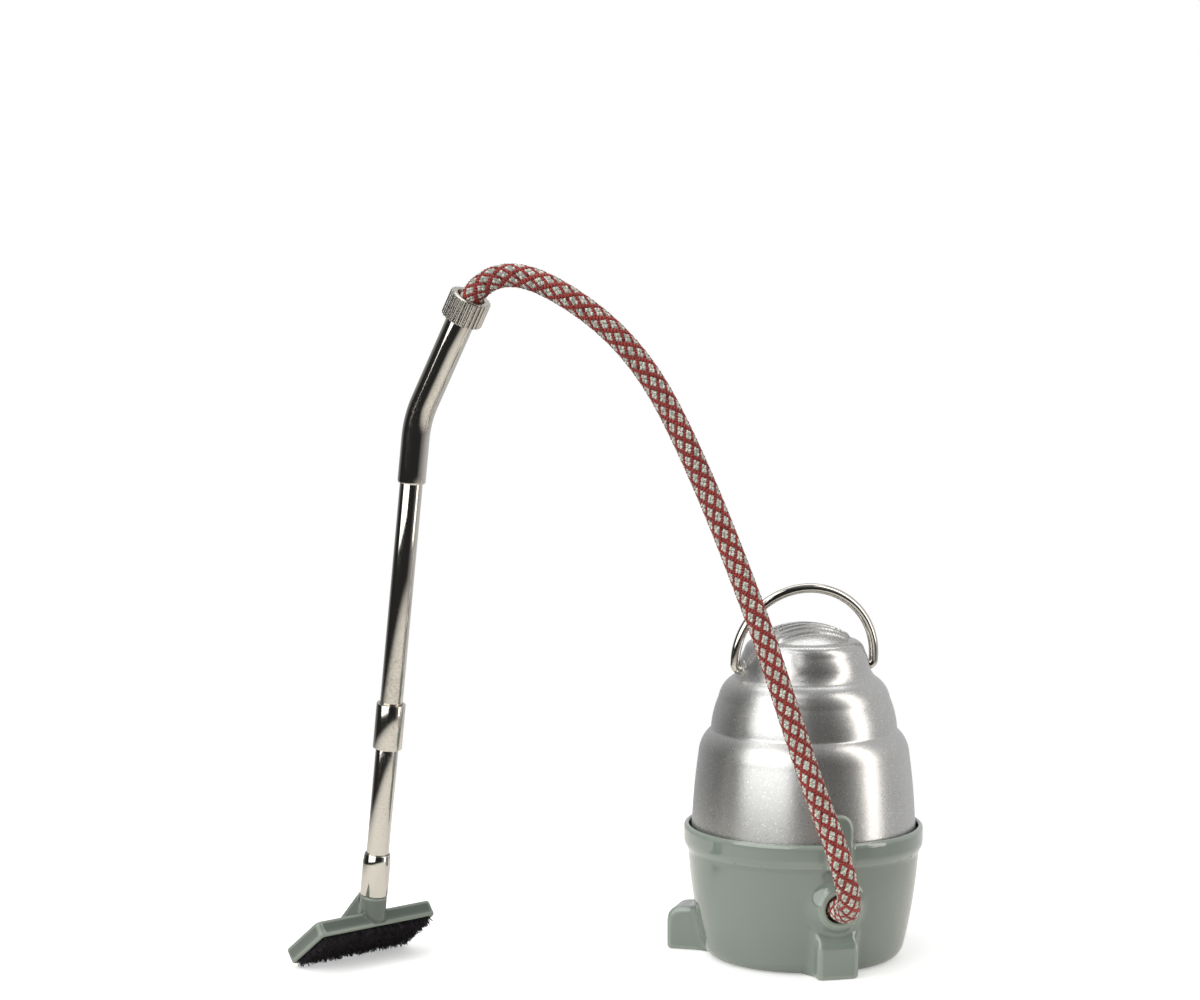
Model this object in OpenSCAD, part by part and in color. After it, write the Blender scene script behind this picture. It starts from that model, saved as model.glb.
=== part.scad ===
// Toy canister vacuum cleaner: an enamelled tub with a domed cover and a wire bail, a short
// braided hose, and a plated wand that stands on a tilted brush.
// Millimetres. The origin is the centre of the tub's flat underside, on the floor, with +Z up
// and the front towards -Y.

/* [Tub] */
// Height of the tub, floor to rim
tub_h = 21.1; // [19:0.1:25]
// Outside radius of the wall at the floor
tub_foot_r = 15.4; // [14:0.1:16.5]
// How far the wall bulges past a straight line
tub_bow = 0.45; // [0.1:0.05:0.8]
// Thickness of the tub's wall
tub_wall = 1.1; // [0.8:0.05:1.4]
// Thickness of the tub's floor
tub_floor = 1.2; // [0.8:0.1:2]
// Rounding of the bottom corner
tub_corner_r = 1; // [0.4:0.1:1.5]
// Height of the rolled bead round the rim
bead_h = 3.9; // [2.5:0.1:4.5]
// How far the bead stands out of the wall
bead_out = 0.6; // [0.3:0.05:1]
// Height over which the bead swells out of the wall
bead_swell = 1.4; // [0.8:0.1:1.6]
// Rounding of the rim's top edge
rim_round = 0.4; // [0.2:0.05:0.5]
// Thickness of the rim outside the cover
rim_wall = 0.75; // [0.6:0.05:1.2]
// Depth of the cover's seat below the rim
seat_drop = 3.5; // [2.5:0.1:4]
// Thickness of the ledge that carries the cover
ledge_t = 0.9; // [0.6:0.1:1.4]
// Turn of the front of the canister to the right of -Y, in degrees
front_turn = 14; // [0:1:30]

/* [Front station] */
// Width of the upright finger on the rim
finger_w = 4.2; // [3:0.1:5.5]
// Height of the finger above the rim
finger_rise = 4.6; // [3:0.1:6]
// How far the finger stands out of the rim's bead
finger_out = 0.3; // [0.1:0.05:0.8]
// Height of the hose boss above the floor
boss_z = 11.1; // [10.5:0.1:12.5]
// Diameter of the boss at the wall
boss_base_d = 7.6; // [6.6:0.1:8]
// Diameter of the boss at its face
boss_face_d = 6.2; // [5.6:0.1:6.5]
// How far the boss stands out of the wall
boss_out = 1.3; // [0.8:0.1:2]
// Width of the step round the boss's face
boss_lip = 0.35; // [0.2:0.05:0.5]
// Diameter of the hole for the hose
hose_hole_d = 4.4; // [4:0.1:5]

/* [Feet] */
// Width of a foot
foot_w = 6.6; // [5:0.1:8]
// Height of a foot
foot_h = 7.2; // [6:0.1:7.4]
// Reach of the front foot from the canister's axis
front_foot_r = 18.5; // [18:0.1:20]
// Reach of the two rear feet from the canister's axis
rear_foot_r = 21.5; // [20:0.1:24]
// Drop of a foot's top towards its outer end
foot_slope = 0.4; // [0:0.1:1]
// Rounding of a foot's upright edges
foot_round = 0.6; // [0.3:0.1:1.2]
// Rounding of a foot's upper outer edge
foot_top_r = 1.6; // [0.6:0.1:2.4]

/* [Cover] */
// Outside radius of the cover at its seat
cover_r = 17.75; // [17:0.05:19]
// Wall thickness of the cover
cover_wall = 0.9; // [0.7:0.05:1.2]
// Gap between the cover and the rim
cover_gap = 0.3; // [0.15:0.05:0.5]
// Height of the lower tier's wall
lower_wall_h = 14.6; // [12:0.1:18]
// How much the lower tier's wall leans in
lower_lean = 1.15; // [0.5:0.05:1.6]
// Height of the lower tier's round shoulder
lower_round_h = 3.9; // [3:0.1:5]
// How far the lower shoulder runs in
lower_round_in = 1.95; // [1.4:0.05:2.4]
// Height of the middle tier's wall
middle_wall_h = 4.9; // [4:0.1:7]
// How much the middle tier's wall leans in
middle_lean = 1.15; // [0.5:0.05:1.6]
// Height of the middle tier's round shoulder
middle_round_h = 3.3; // [2.5:0.1:4.5]
// How far the middle shoulder runs in
middle_round_in = 2.3; // [1.6:0.05:2.6]
// Height of the hollow neck under the cap
neck_h = 1.9; // [1.4:0.1:2.6]
// How far the neck runs in
neck_in = 1; // [0.6:0.05:1.3]
// Height of the cap's wall
cap_wall_h = 2.2; // [1.6:0.1:3.5]
// How much the cap's wall leans in
cap_lean = 0.7; // [0.3:0.05:1]
// Height of the cap's round shoulder
cap_round_h = 1.8; // [1.2:0.1:2.6]
// How far the cap's shoulder runs in
cap_round_in = 1.9; // [1.2:0.05:2.2]
// Rise of the crown above the cap's shoulder
crown_h = 2.3; // [1.6:0.1:3.2]
// Number of vent ribs across the crown
rib_n = 6; // [3:1:8]
// Spacing of the vent ribs
rib_pitch = 1.7; // [1.4:0.05:1.9]
// Width of a vent rib
rib_w = 0.85; // [0.5:0.05:1.1]
// Height of a vent rib
rib_h = 0.35; // [0.2:0.05:0.6]
// Margin between the ribs' ends and the crown's edge
rib_margin = 0.4; // [0.2:0.1:1]

/* [Bail] */
// Diameter of the bail's wire
bail_d = 1.5; // [1.2:0.1:1.8]
// Drop of the bail's axis below the cap
bail_drop = 0.5; // [0.3:0.05:0.9]
// Clear gap between the crown and the bail at its top
finger_gap = 5; // [4.6:0.1:7]
// Gap between the wire and the cover's side
bail_gap = 0.15; // [0.1:0.05:0.4]
// Bend radius where the wire turns into the cover
bail_bend_r = 0.95; // [0.9:0.05:1.3]
// Length of the wire's straight end
bail_pin_l = 2.1; // [1.5:0.1:2.6]
// Outside diameter of the bearing inside the cover
bail_bearing_d = 3.2; // [2.8:0.1:4]
// Running clearance of the wire in its bearing
bail_clear = 0.05; // [0.03:0.01:0.09]
// Lean of the bail towards the front, in degrees
bail_lean = 8; // [0:1:15]

/* [Hose] */
// Diameter of the braided hose
hose_d = 3.6; // [3.3:0.05:3.7]
// Clearance of the hose in its end fittings
hose_clear = 0.06; // [0.04:0.01:0.12]
// Wall of the hose's end fittings
ferrule_wall = 0.35; // [0.25:0.05:0.5]
// Length of the ferrule inside the tub
ferrule_l = 2.6; // [2:0.1:3.4]
// Diameter of the ferrule's flange
ferrule_flange_d = 6.2; // [5.6:0.1:7]
// Thickness of the ferrule's flange
ferrule_flange_t = 0.6; // [0.4:0.1:1]
// Gap between the flange and the tub's wall
ferrule_gap = 0.1; // [0.05:0.05:0.3]
// Diameter of the air hole through a fitting's end wall
air_d = 2.2; // [1.5:0.1:2.6]
// Thickness of a fitting's end wall
end_wall = 0.4; // [0.3:0.1:0.6]

/* [Coupling nut] */
// Diameter over the ribs of the nut
nut_d = 6.4; // [6:0.1:7.5]
// Length of the nut
nut_l = 4.1; // [3.6:0.1:5]
// Number of grooves round the nut
knurl_n = 24; // [16:1:30]
// Width of a groove
knurl_w = 0.4; // [0.25:0.05:0.5]
// Depth of a groove
knurl_deep = 0.35; // [0.2:0.05:0.45]
// Chamfer on the nut's edges
nut_chamfer = 0.3; // [0.1:0.05:0.4]
// Running clearance of the nut on the handle tube
nut_clear = 0.05; // [0.03:0.01:0.09]
// Length of the handle tube inside the nut
nut_on = 0.9; // [0.6:0.1:1.4]
// Length of the hose collar inside the nut
collar_l = 1.2; // [0.9:0.1:1.6]

/* [Wand] */
// Outside diameter of the straight tubes
wand_d = 3.5; // [3:0.05:3.6]
// Wall of the straight tubes
wand_wall = 0.4; // [0.25:0.05:0.5]
// Slip clearance between plugged tubes
slip = 0.03; // [0.02:0.01:0.06]
// Outside diameter of the handle tube
handle_d = 4.3; // [4.2:0.05:4.7]
// Straight length of the handle tube below its bend
handle_low_l = 6.9; // [5:0.1:12]
// Angle of the handle's bend, in degrees
handle_bend = 21; // [5:1:35]
// Bend radius of the handle's axis
handle_bend_r = 16; // [10:0.5:24]
// Straight length of the handle tube above its bend
handle_top_l = 15.4; // [12:0.1:20]
// Turn of the bend round the wand, in degrees
handle_turn = 15; // [-20:1:30]
// Length of a tube's plugged end
plug_l = 5.5; // [4:0.1:6.5]
// Free length of the upper tube between the sleeve and the handle
upper_free_l = 35; // [25:0.5:50]
// Free length of the lower tube between the socket and the sleeve
lower_free_l = 17.1; // [12:0.1:30]
// Outside diameter of the sleeve
sleeve_d = 4.5; // [4.3:0.05:5]
// Length of the sleeve
sleeve_l = 7.2; // [5:0.1:10]
// Gap between the two tubes inside the sleeve
butt_gap = 0.2; // [0.1:0.1:0.5]
// Outside diameter of the wand's socket
socket_d = 4.35; // [4.2:0.05:4.8]
// Length of the socket below its cone
socket_l = 5.2; // [4.6:0.1:7]
// Length of the cone on top of the socket
socket_cone_l = 1.5; // [0.8:0.1:2.5]
// Wall of the socket at the cone's top
socket_lip = 0.15; // [0.1:0.05:0.3]
// Depth of the lower tube in the socket
socket_plug_l = 2.6; // [1.8:0.1:3]

/* [Brush] */
// Length of the brush head
head_l = 22.9; // [18:0.1:30]
// Width of the brush head
head_w = 10; // [9.4:0.1:13]
// Thickness of the brush head
head_t = 2.6; // [2:0.1:3.5]
// Rounding of the head's corners
head_round = 0.9; // [0.5:0.1:1.5]
// Chamfer round the head's top
head_chamfer = 0.4; // [0.2:0.1:0.7]
// Tilt of the head off the floor, in degrees
head_tilt = 36.5; // [20:0.5:45]
// Turn of the head's length from +X, in degrees
head_turn = 43; // [20:1:60]
// Place of the head's middle across the floor, in X
head_x = -70.2; // [-90:0.1:-55]
// Place of the head's middle across the floor, in Y
head_y = -4; // [-20:0.1:10]
// Diameter of the neck
neck_d = 4.2; // [3.9:0.05:4.6]
// Length of the neck above the head, along its axis
neck_l = 2.9; // [2.4:0.1:5]
// Place of the neck in front of the head's middle
neck_shift = 4.4; // [3.6:0.1:4.6]
// Angle between the neck and the head's face, in degrees
neck_tilt = 45; // [38:0.5:52]
// Width of the rib behind the neck
fairing_w = 3.2; // [2.4:0.1:3.8]
// Height of the rib at its rear end
fairing_rear_h = 2.4; // [1.6:0.1:2.8]
// Step from the rib's rear end to the head's edge
fairing_step = 0.7; // [0.6:0.1:1.5]
// Diameter of the spigot that turns in the socket
spigot_d = 3; // [2.8:0.05:3.1]
// Length of the spigot
spigot_l = 2.9; // [2.4:0.1:3.2]
// Running clearance of the spigot
spigot_clear = 0.05; // [0.03:0.01:0.09]
// Gap between the neck's shoulder and the socket
shoulder_gap = 0.1; // [0.05:0.05:0.2]
// Margin of the head round the bristle strip
strip_inset = 0.6; // [0.4:0.05:1]
// Thickness of the bristle strip's backing
backing_t = 0.6; // [0.4:0.1:0.9]
// Clearance round the backing in its pocket
backing_clear = 0.1; // [0.05:0.05:0.2]
// Length of the bristles below the head
bristle_out = 0.95; // [0.6:0.05:1.6]
// Strands along the strip
strand_cols = 32; // [20:1:36]
// Strands across the strip
strand_rows = 11; // [8:1:13]
// Thickness of a strand at its root
strand_thick = 0.36; // [0.28:0.02:0.4]
// Thickness of a strand at its tip
strand_tip = 0.24; // [0.16:0.02:0.28]
// Most that a strand's tip leans from its root
strand_lean = 0.12; // [0:0.02:0.14]
// Most by which a strand falls short of the longest
strand_short = 0.3; // [0:0.05:0.4]

/* [Hidden] */

ENAMEL = "#84938a";
SILVER = "#b9bbbc";
NICKEL = "#c9c4ba";
BRAID = "#b06a66";
PILE = "#201c20";

// Facets of round parts, and of round strokes in an outline
$fn = 96;
ARC_STEPS = 8;
// Spare length by which a cut runs past the face that it opens
PAST = 1;
// Length by which a straight tube laps into the bend that it joins
LAP = 0.01;

// Rim, seat and wall of the tub
rim_r = cover_r + cover_gap;
bead_r = rim_r + rim_wall;
tub_top_r = bead_r - bead_out;
bead_z = tub_h - bead_h;
seat_z = tub_h - seat_drop;
seat_r = cover_r - cover_wall - cover_gap / 2;
seat_gap = 0.05;
bead_low_bow = 0.07;
bead_top_bow = 0.16;

// Heights of the cover's tiers, from its foot up
cover_z = seat_z + seat_gap;
neck_z = cover_z + lower_wall_h + lower_round_h + middle_wall_h + middle_round_h;
cap_z = neck_z + neck_h;
crown_z = cap_z + cap_wall_h + cap_round_h + crown_h;
cap_r = cover_r - lower_lean - lower_round_in - middle_lean - middle_round_in - neck_in;
crown_r = cap_r - cap_lean - cap_round_in;
wall_bow = 0.22;
shoulder_bow = 0.45;
crown_bow = 0.6;
neck_bow = -0.15;
rib_patch_r = crown_r - rib_margin;
rib_z = crown_z - crown_h - cap_round_h / 2;
rib_reach = crown_h + cap_round_h;

// The bail turns about a line through the neck of the cover
bail_z = cap_z - bail_drop;
bail_side_r = cap_r + neck_in * bail_drop / neck_h;
bail_half = bail_side_r + bail_gap + bail_d / 2;
bail_reach = crown_z + rib_h + finger_gap + bail_d / 2 - bail_z;
bearing_in = bail_half - bail_bend_r - bail_pin_l;

// Brush frame: the strip's lower rear edge lies on the floor
head_z = (head_w / 2 - strip_inset) * sin(head_tilt) + (head_t + bristle_out) * cos(head_tilt);

// Stations along the wand, from the point where the neck's axis meets the head's face
socket_z = neck_l + shoulder_gap;
cone_z = socket_z + socket_l;
socket_top = cone_z + socket_cone_l;
sleeve_z = socket_top + lower_free_l;
butt_z = sleeve_z + sleeve_l / 2;
handle_z = sleeve_z + sleeve_l + upper_free_l;
bend_z = handle_z + handle_low_l;
bore_d = wand_d + 2 * slip;
nut_z = handle_top_l - nut_on;

// The hose's route, from the ferrule in the tub to the collar in the nut
HOSE_ROUTE = [
  [3.3, -13.1, 11.1], [4.2, -16.8, 11.1], [5.1, -20.5, 11.3], [5.5, -23.7, 12.6],
  [5.2, -26.6, 15.2], [4.4, -28.4, 18.6], [3.2, -29.4, 22.6], [1, -30, 28.5],
  [-1, -30, 34], [-3.2, -29.8, 40.5], [-5.5, -29.2, 47.5], [-8, -28.4, 55],
  [-10.6, -27.6, 62], [-13.5, -26.8, 69.5], [-16.6, -26.2, 77], [-20, -26, 84.5],
  [-24, -26, 92], [-28.5, -26, 98], [-33, -26, 102.2], [-38, -25.7, 105.6],
  [-42, -25.1, 107.5], [-45.2, -24.2, 108.1], [-48, -23.2, 107.6], [-50, -22.2, 106.3],
  [-51.2, -21.4, 104.9], [-51.9, -20.9, 103.6], [-52.4, -20.5, 102.5]
];
HOSE_SIDES = 8;

function unit(v) = v / norm(v);

// Points of an arc from p to q that stands bow off the chord, to the right of the way from p to q
function arc_points(p, q, bow) =
  let (
    half = norm(q - p) / 2,
    radius = (half * half + bow * bow) / (2 * abs(bow)),
    side = sign(bow) * [q.y - p.y, p.x - q.x] / (2 * half),
    centre = (p + q) / 2 - side * (radius - abs(bow)),
    sweep = asin(half / radius)
  )
  [for (i = [0 : ARC_STEPS])
    let (a = sweep * (2 * i / ARC_STEPS - 1), along = (q - p) / (2 * half))
    centre + side * radius * cos(a) + along * radius * sin(a)];

// A list without its first point, to chain strokes that share an end
function tail(list) = [for (i = [1 : len(list) - 1]) list[i]];

// Outside radius of the tub's wall at a height, on the wall's own arc
function tub_r(z) =
  let (
    chord = [tub_top_r - tub_foot_r, bead_z],
    half = norm(chord) / 2,
    radius = (half * half + tub_bow * tub_bow) / (2 * tub_bow),
    side = [chord.y, -chord.x] / (2 * half),
    centre = [tub_foot_r, 0] + chord / 2 - side * (radius - tub_bow)
  )
  centre.x + sqrt(radius * radius - pow(z - centre.y, 2));

// Heights at which the tub's wall has a point
WALL_STEPS = 10;
function wall_heights(from, to) = [for (i = [0 : WALL_STEPS]) from + (to - from) * i / WALL_STEPS];

// Outline of the cover's outside, from its foot to the crown
function cover_outline() =
  let (
    foot = [cover_r, cover_z],
    lower = foot + [-lower_lean, lower_wall_h],
    step = lower + [-lower_round_in, lower_round_h],
    middle = step + [-middle_lean, middle_wall_h],
    neck = middle + [-middle_round_in, middle_round_h],
    cap = neck + [-neck_in, neck_h],
    cap_top = cap + [-cap_lean, cap_wall_h],
    crown = cap_top + [-cap_round_in, cap_round_h],
    top = [0, crown_z]
  )
  concat(
    arc_points(foot, lower, wall_bow),
    tail(arc_points(lower, step, shoulder_bow)),
    tail(arc_points(step, middle, wall_bow)),
    tail(arc_points(middle, neck, shoulder_bow)),
    tail(arc_points(neck, cap, neck_bow)),
    tail(arc_points(cap, cap_top, wall_bow / 2)),
    tail(arc_points(cap_top, crown, shoulder_bow)),
    tail(arc_points(crown, top, crown_bow))
  );

module ring(outer_d, inner_d, length) {
  difference() {
    cylinder(d = outer_d, h = length);
    translate([0, 0, -PAST])
      cylinder(d = inner_d, h = length + 2 * PAST);
  }
}

// Plan of a block with round corners
module rounded_plan(length, width, radius) {
  square([length - 2 * radius, width], center = true);
  square([length, width - 2 * radius], center = true);
  for (sx = [-1, 1], sy = [-1, 1])
    translate([sx * (length / 2 - radius), sy * (width / 2 - radius)])
      circle(r = radius);
}

// Frames: the canister, its hose axis, the brush head, the wand and the handle's top
module at_canister() {
  rotate([0, 0, front_turn])
    children();
}

module at_hose_axis() {
  at_canister()
    translate([0, 0, boss_z])
      rotate([90, 0, 0])
        children();
}

module at_head() {
  translate([head_x, head_y, head_z])
    rotate([0, 0, head_turn])
      rotate([-head_tilt, 0, 0])
        children();
}

module at_wand() {
  at_head()
    translate([0, -neck_shift, 0])
      rotate([neck_tilt, 0, 0])
        children();
}

module at_bend() {
  at_wand()
    translate([0, 0, bend_z])
      rotate([0, 0, handle_turn])
        children();
}

module at_handle_top() {
  at_bend()
    translate([0, -handle_bend_r, 0])
      rotate([handle_bend, 0, 0])
        translate([0, handle_bend_r, 0])
          children();
}

// Tub
module tub_outside() {
  corner_mid = [tub_r(tub_corner_r) - tub_corner_r, tub_corner_r];
  corner = [for (i = [0 : ARC_STEPS])
    let (a = -90 + 90 * i / ARC_STEPS)
    corner_mid + tub_corner_r * [cos(a), sin(a)]];
  wall = [for (z = wall_heights(tub_corner_r, bead_z)) [tub_r(z), z]];
  bead_low = arc_points([tub_top_r, bead_z], [bead_r, bead_z + bead_swell], bead_low_bow);
  rim_edge = [bead_r, tub_h - 2 * rim_round];
  bead_top = arc_points(rim_edge, [rim_r + rim_round / 2, tub_h], bead_top_bow);
  rotate_extrude()
    polygon(concat([[0, 0]], corner, tail(wall), tail(bead_low), bead_top, [[0, tub_h]]));
}

module tub_inside() {
  wall_top = seat_z - 2 * ledge_t;
  wall = [for (z = wall_heights(tub_floor, wall_top)) [tub_r(z) - tub_wall, z]];
  rotate_extrude()
    polygon(concat(
      [[0, tub_floor]], wall,
      [[seat_r, seat_z - ledge_t], [seat_r, seat_z], [rim_r, seat_z]],
      [[rim_r, tub_h + finger_rise + PAST], [0, tub_h + finger_rise + PAST]]
    ));
}

module foot(reach) {
  start = tub_foot_r / 2;
  length = reach - start;
  end_h = foot_h - foot_slope;
  top_edge = [for (i = [0 : ARC_STEPS])
    let (a = 180 - 90 * i / ARC_STEPS)
    [foot_top_r - reach, end_h - foot_top_r] + foot_top_r * [cos(a), sin(a)]];
  intersection() {
    translate([0, -(start + length / 2), 0])
      linear_extrude(foot_h)
        rounded_plan(foot_w, length, foot_round);
    rotate([90, 0, 90])
      translate([0, 0, -foot_w])
        linear_extrude(2 * foot_w)
          polygon(concat(
            [[-start + PAST, 0], [-reach - PAST, 0]],
            top_edge,
            [[-start + PAST, foot_h]]
          ));
  }
}

module finger() {
  round_r = finger_w / 2;
  intersection() {
    translate([0, 0, bead_z])
      cylinder(r = bead_r + finger_out, h = bead_h + finger_rise);
    rotate([90, 0, 0])
      linear_extrude(bead_r + finger_out + PAST) {
        translate([-round_r, bead_z])
          square([finger_w, bead_h + finger_rise - round_r]);
        translate([0, tub_h + finger_rise - round_r])
          circle(r = round_r);
      }
  }
}

module boss() {
  wall_r = tub_r(boss_z);
  at_hose_axis() {
    translate([0, 0, wall_r - PAST])
      cylinder(d = boss_base_d, h = PAST);
    translate([0, 0, wall_r])
      cylinder(d1 = boss_base_d, d2 = boss_face_d + 2 * boss_lip, h = boss_out - boss_lip);
    translate([0, 0, wall_r + boss_out - boss_lip])
      cylinder(d1 = boss_face_d + boss_lip, d2 = boss_face_d, h = boss_lip);
  }
}

module base_tub() {
  color(ENAMEL)
    difference() {
      union() {
        tub_outside();
        at_canister() {
          finger();
          foot(front_foot_r);
          for (a = [-120, 120])
            rotate([0, 0, a])
              foot(rear_foot_r);
        }
        boss();
      }
      tub_inside();
      at_hose_axis()
        translate([0, 0, tub_foot_r / 2])
          cylinder(d = hose_hole_d, h = bead_r + boss_out);
    }
}

// Cover, with its vent ribs and the bearings of the bail
module cover_form() {
  rotate_extrude()
    polygon(concat([[0, cover_z]], cover_outline()));
}

module cover_hollow() {
  inner = [for (p = cover_outline()) if (p.x > 2 * cover_wall) p - [cover_wall, cover_wall]];
  rotate_extrude()
    polygon(concat([[0, cover_z - cover_wall]], inner, [[0, crown_z - cover_wall]]));
}

module vent_ribs() {
  intersection() {
    translate([0, 0, rib_h])
      cover_form();
    translate([0, 0, rib_z])
      cylinder(r = rib_patch_r, h = rib_reach);
    for (i = [0 : rib_n - 1])
      translate([-crown_r, (i - (rib_n - 1) / 2) * rib_pitch - rib_w / 2, rib_z])
        cube([2 * crown_r, rib_w, rib_reach]);
  }
}

module bail_bearings() {
  for (sx = [-1, 1])
    translate([sx * bearing_in, 0, bail_z])
      rotate([0, sx * 90, 0])
        cylinder(d = bail_bearing_d, h = bail_side_r - cover_wall / 2 - bearing_in);
}

module dome_cover() {
  color(SILVER)
    at_canister()
      difference() {
        union() {
          difference() {
            cover_form();
            cover_hollow();
          }
          vent_ribs();
          bail_bearings();
        }
        translate([-cover_r, 0, bail_z])
          rotate([0, 90, 0])
            cylinder(d = bail_d + 2 * bail_clear, h = 2 * cover_r);
      }
}

// Half of the bail: its arch, its leg, the bend at the leg's foot and the end that turns in the cover
module bail_side() {
  leg = bail_reach - bail_half;
  translate([0, 0, leg])
    rotate([90, 0, 0])
      rotate_extrude(angle = 90)
        translate([bail_half, 0])
          circle(d = bail_d);
  translate([bail_half, 0, bail_bend_r])
    cylinder(d = bail_d, h = leg - bail_bend_r);
  translate([bail_half - bail_bend_r, 0, bail_bend_r])
    rotate([90, 0, 0])
      rotate([0, 0, -90])
        rotate_extrude(angle = 90)
          translate([bail_bend_r, 0])
            circle(d = bail_d);
  translate([bail_half - bail_bend_r, 0, 0])
    rotate([0, -90, 0])
      cylinder(d = bail_d, h = bail_pin_l);
}

module bail_handle() {
  color(NICKEL)
    at_canister()
      translate([0, 0, bail_z])
        rotate([bail_lean, 0, 0]) {
          bail_side();
          mirror([1, 0, 0])
            bail_side();
        }
}

// Hose and its end fittings
ferrule_seat_r = tub_r(boss_z - ferrule_flange_d / 2) - tub_wall;
ferrule_z = sqrt(pow(ferrule_seat_r, 2) - pow(ferrule_flange_d / 2, 2)) - ferrule_gap;
fitting_d = hose_d + 2 * hose_clear;

module hose_ferrule() {
  color(NICKEL)
    at_hose_axis()
      translate([0, 0, ferrule_z - ferrule_l])
        difference() {
          union() {
            cylinder(d = fitting_d + 2 * ferrule_wall, h = ferrule_l);
            translate([0, 0, ferrule_l - ferrule_flange_t])
              cylinder(d = ferrule_flange_d, h = ferrule_flange_t);
          }
          translate([0, 0, end_wall])
            cylinder(d = fitting_d, h = ferrule_l);
          translate([0, 0, -PAST])
            cylinder(d = air_d, h = ferrule_l);
        }
}

// Direction of the route at each point, square to what it meets at both ends
function route_way(route, i) =
  unit(route[min(i + 1, len(route) - 1)] - route[max(i - 1, 0)]);

// A side direction carried along the route without twist
function carried_side(ways, side, i = 0) =
  i == len(ways) ? [] :
  let (next = unit(side - (side * ways[i]) * ways[i]))
  concat([next], carried_side(ways, next, i + 1));

module swept_tube(route, diameter, sides) {
  ways = [for (i = [0 : len(route) - 1]) route_way(route, i)];
  across = carried_side(ways, [1, 0, 0]);
  points = [for (i = [0 : len(route) - 1], k = [0 : sides - 1])
    let (a = 360 * k / sides, up = cross(ways[i], across[i]))
    route[i] + diameter / 2 * (cos(a) * across[i] + sin(a) * up)];
  skin = [for (i = [0 : len(route) - 2], k = [0 : sides - 1], half = [0, 1])
    let (a = i * sides + k, b = i * sides + (k + 1) % sides)
    half == 0 ? [a, a + sides, b] : [b, a + sides, b + sides]];
  last = (len(route) - 1) * sides;
  ends = [for (k = [1 : sides - 2], end = [0, 1])
    end == 0 ? [0, k, k + 1] : [last, last + k + 1, last + k]];
  polyhedron(points, concat(skin, ends));
}

module hose() {
  color(BRAID)
    swept_tube(HOSE_ROUTE, hose_d, HOSE_SIDES);
}

module hose_collar() {
  color(NICKEL)
    at_handle_top()
      translate([0, 0, handle_top_l])
        difference() {
          cylinder(d = handle_d, h = collar_l);
          translate([0, 0, end_wall])
            cylinder(d = fitting_d, h = collar_l);
          translate([0, 0, -PAST])
            cylinder(d = air_d, h = collar_l);
        }
}

// Nut with straight coarse knurling
module coupling_nut() {
  bore_r = handle_d / 2 + nut_clear;
  rim = nut_d / 2;
  color(NICKEL)
    at_handle_top()
      translate([0, 0, nut_z])
        difference() {
          rotate_extrude()
            polygon([
              [bore_r, 0], [rim - nut_chamfer, 0], [rim, nut_chamfer],
              [rim, nut_l - nut_chamfer], [rim - nut_chamfer, nut_l], [bore_r, nut_l]
            ]);
          for (i = [0 : knurl_n - 1])
            rotate([0, 0, 360 * i / knurl_n])
              translate([nut_d / 2 - knurl_deep, -knurl_w / 2, -PAST])
                cube([nut_d, knurl_w, nut_l + 2 * PAST]);
        }
}

// Wand tubes
module bent_rod(diameter, past) {
  at_bend() {
    translate([0, 0, -handle_low_l - past])
      cylinder(d = diameter, h = handle_low_l + past);
    translate([0, -handle_bend_r, 0])
      rotate([0, 90, 0])
        rotate([0, 0, 90])
          rotate_extrude(angle = handle_bend)
            translate([handle_bend_r, 0])
              circle(d = diameter);
  }
  at_handle_top()
    translate([0, 0, -LAP])
      cylinder(d = diameter, h = handle_top_l + past + LAP);
}

module handle_tube() {
  color(NICKEL)
    difference() {
      bent_rod(handle_d, 0);
      bent_rod(bore_d, PAST);
    }
}

module wand_tube_upper() {
  color(NICKEL)
    at_wand()
      translate([0, 0, butt_z + butt_gap / 2])
        ring(wand_d, wand_d - 2 * wand_wall, handle_z + plug_l - butt_z - butt_gap / 2);
}

module wand_sleeve() {
  color(NICKEL)
    at_wand()
      translate([0, 0, sleeve_z])
        ring(sleeve_d, bore_d, sleeve_l);
}

module wand_tube_lower() {
  low = socket_top - socket_plug_l;
  color(NICKEL)
    at_wand()
      translate([0, 0, low])
        ring(wand_d, wand_d - 2 * wand_wall, butt_z - butt_gap / 2 - low);
}

module wand_socket() {
  color(NICKEL)
    at_wand()
      difference() {
        union() {
          translate([0, 0, socket_z])
            cylinder(d = socket_d, h = socket_l);
          translate([0, 0, cone_z])
            cylinder(d1 = socket_d, d2 = bore_d + 2 * socket_lip, h = socket_cone_l);
        }
        translate([0, 0, socket_z - PAST])
          cylinder(d = spigot_d + 2 * spigot_clear, h = socket_l + socket_cone_l + 2 * PAST);
        translate([0, 0, socket_top - socket_plug_l])
          cylinder(d = bore_d, h = socket_plug_l + PAST);
      }
}

// Brush head: a plate with a pocket under it, a slanted neck and a rib behind the neck
module chamfered_section(width) {
  edge = width / 2;
  polygon([
    [-edge, -head_t], [edge, -head_t], [edge, -head_chamfer],
    [edge - head_chamfer, 0], [head_chamfer - edge, 0], [-edge, -head_chamfer]
  ]);
}

module head_plate() {
  intersection() {
    translate([0, 0, -head_t])
      linear_extrude(head_t)
        rounded_plan(head_l, head_w, head_round);
    rotate([90, 0, 90])
      translate([0, 0, -head_l])
        linear_extrude(2 * head_l)
          chamfered_section(head_w);
    rotate([90, 0, 0])
      translate([0, 0, -head_w])
        linear_extrude(2 * head_w)
          chamfered_section(head_l);
  }
}

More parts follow.
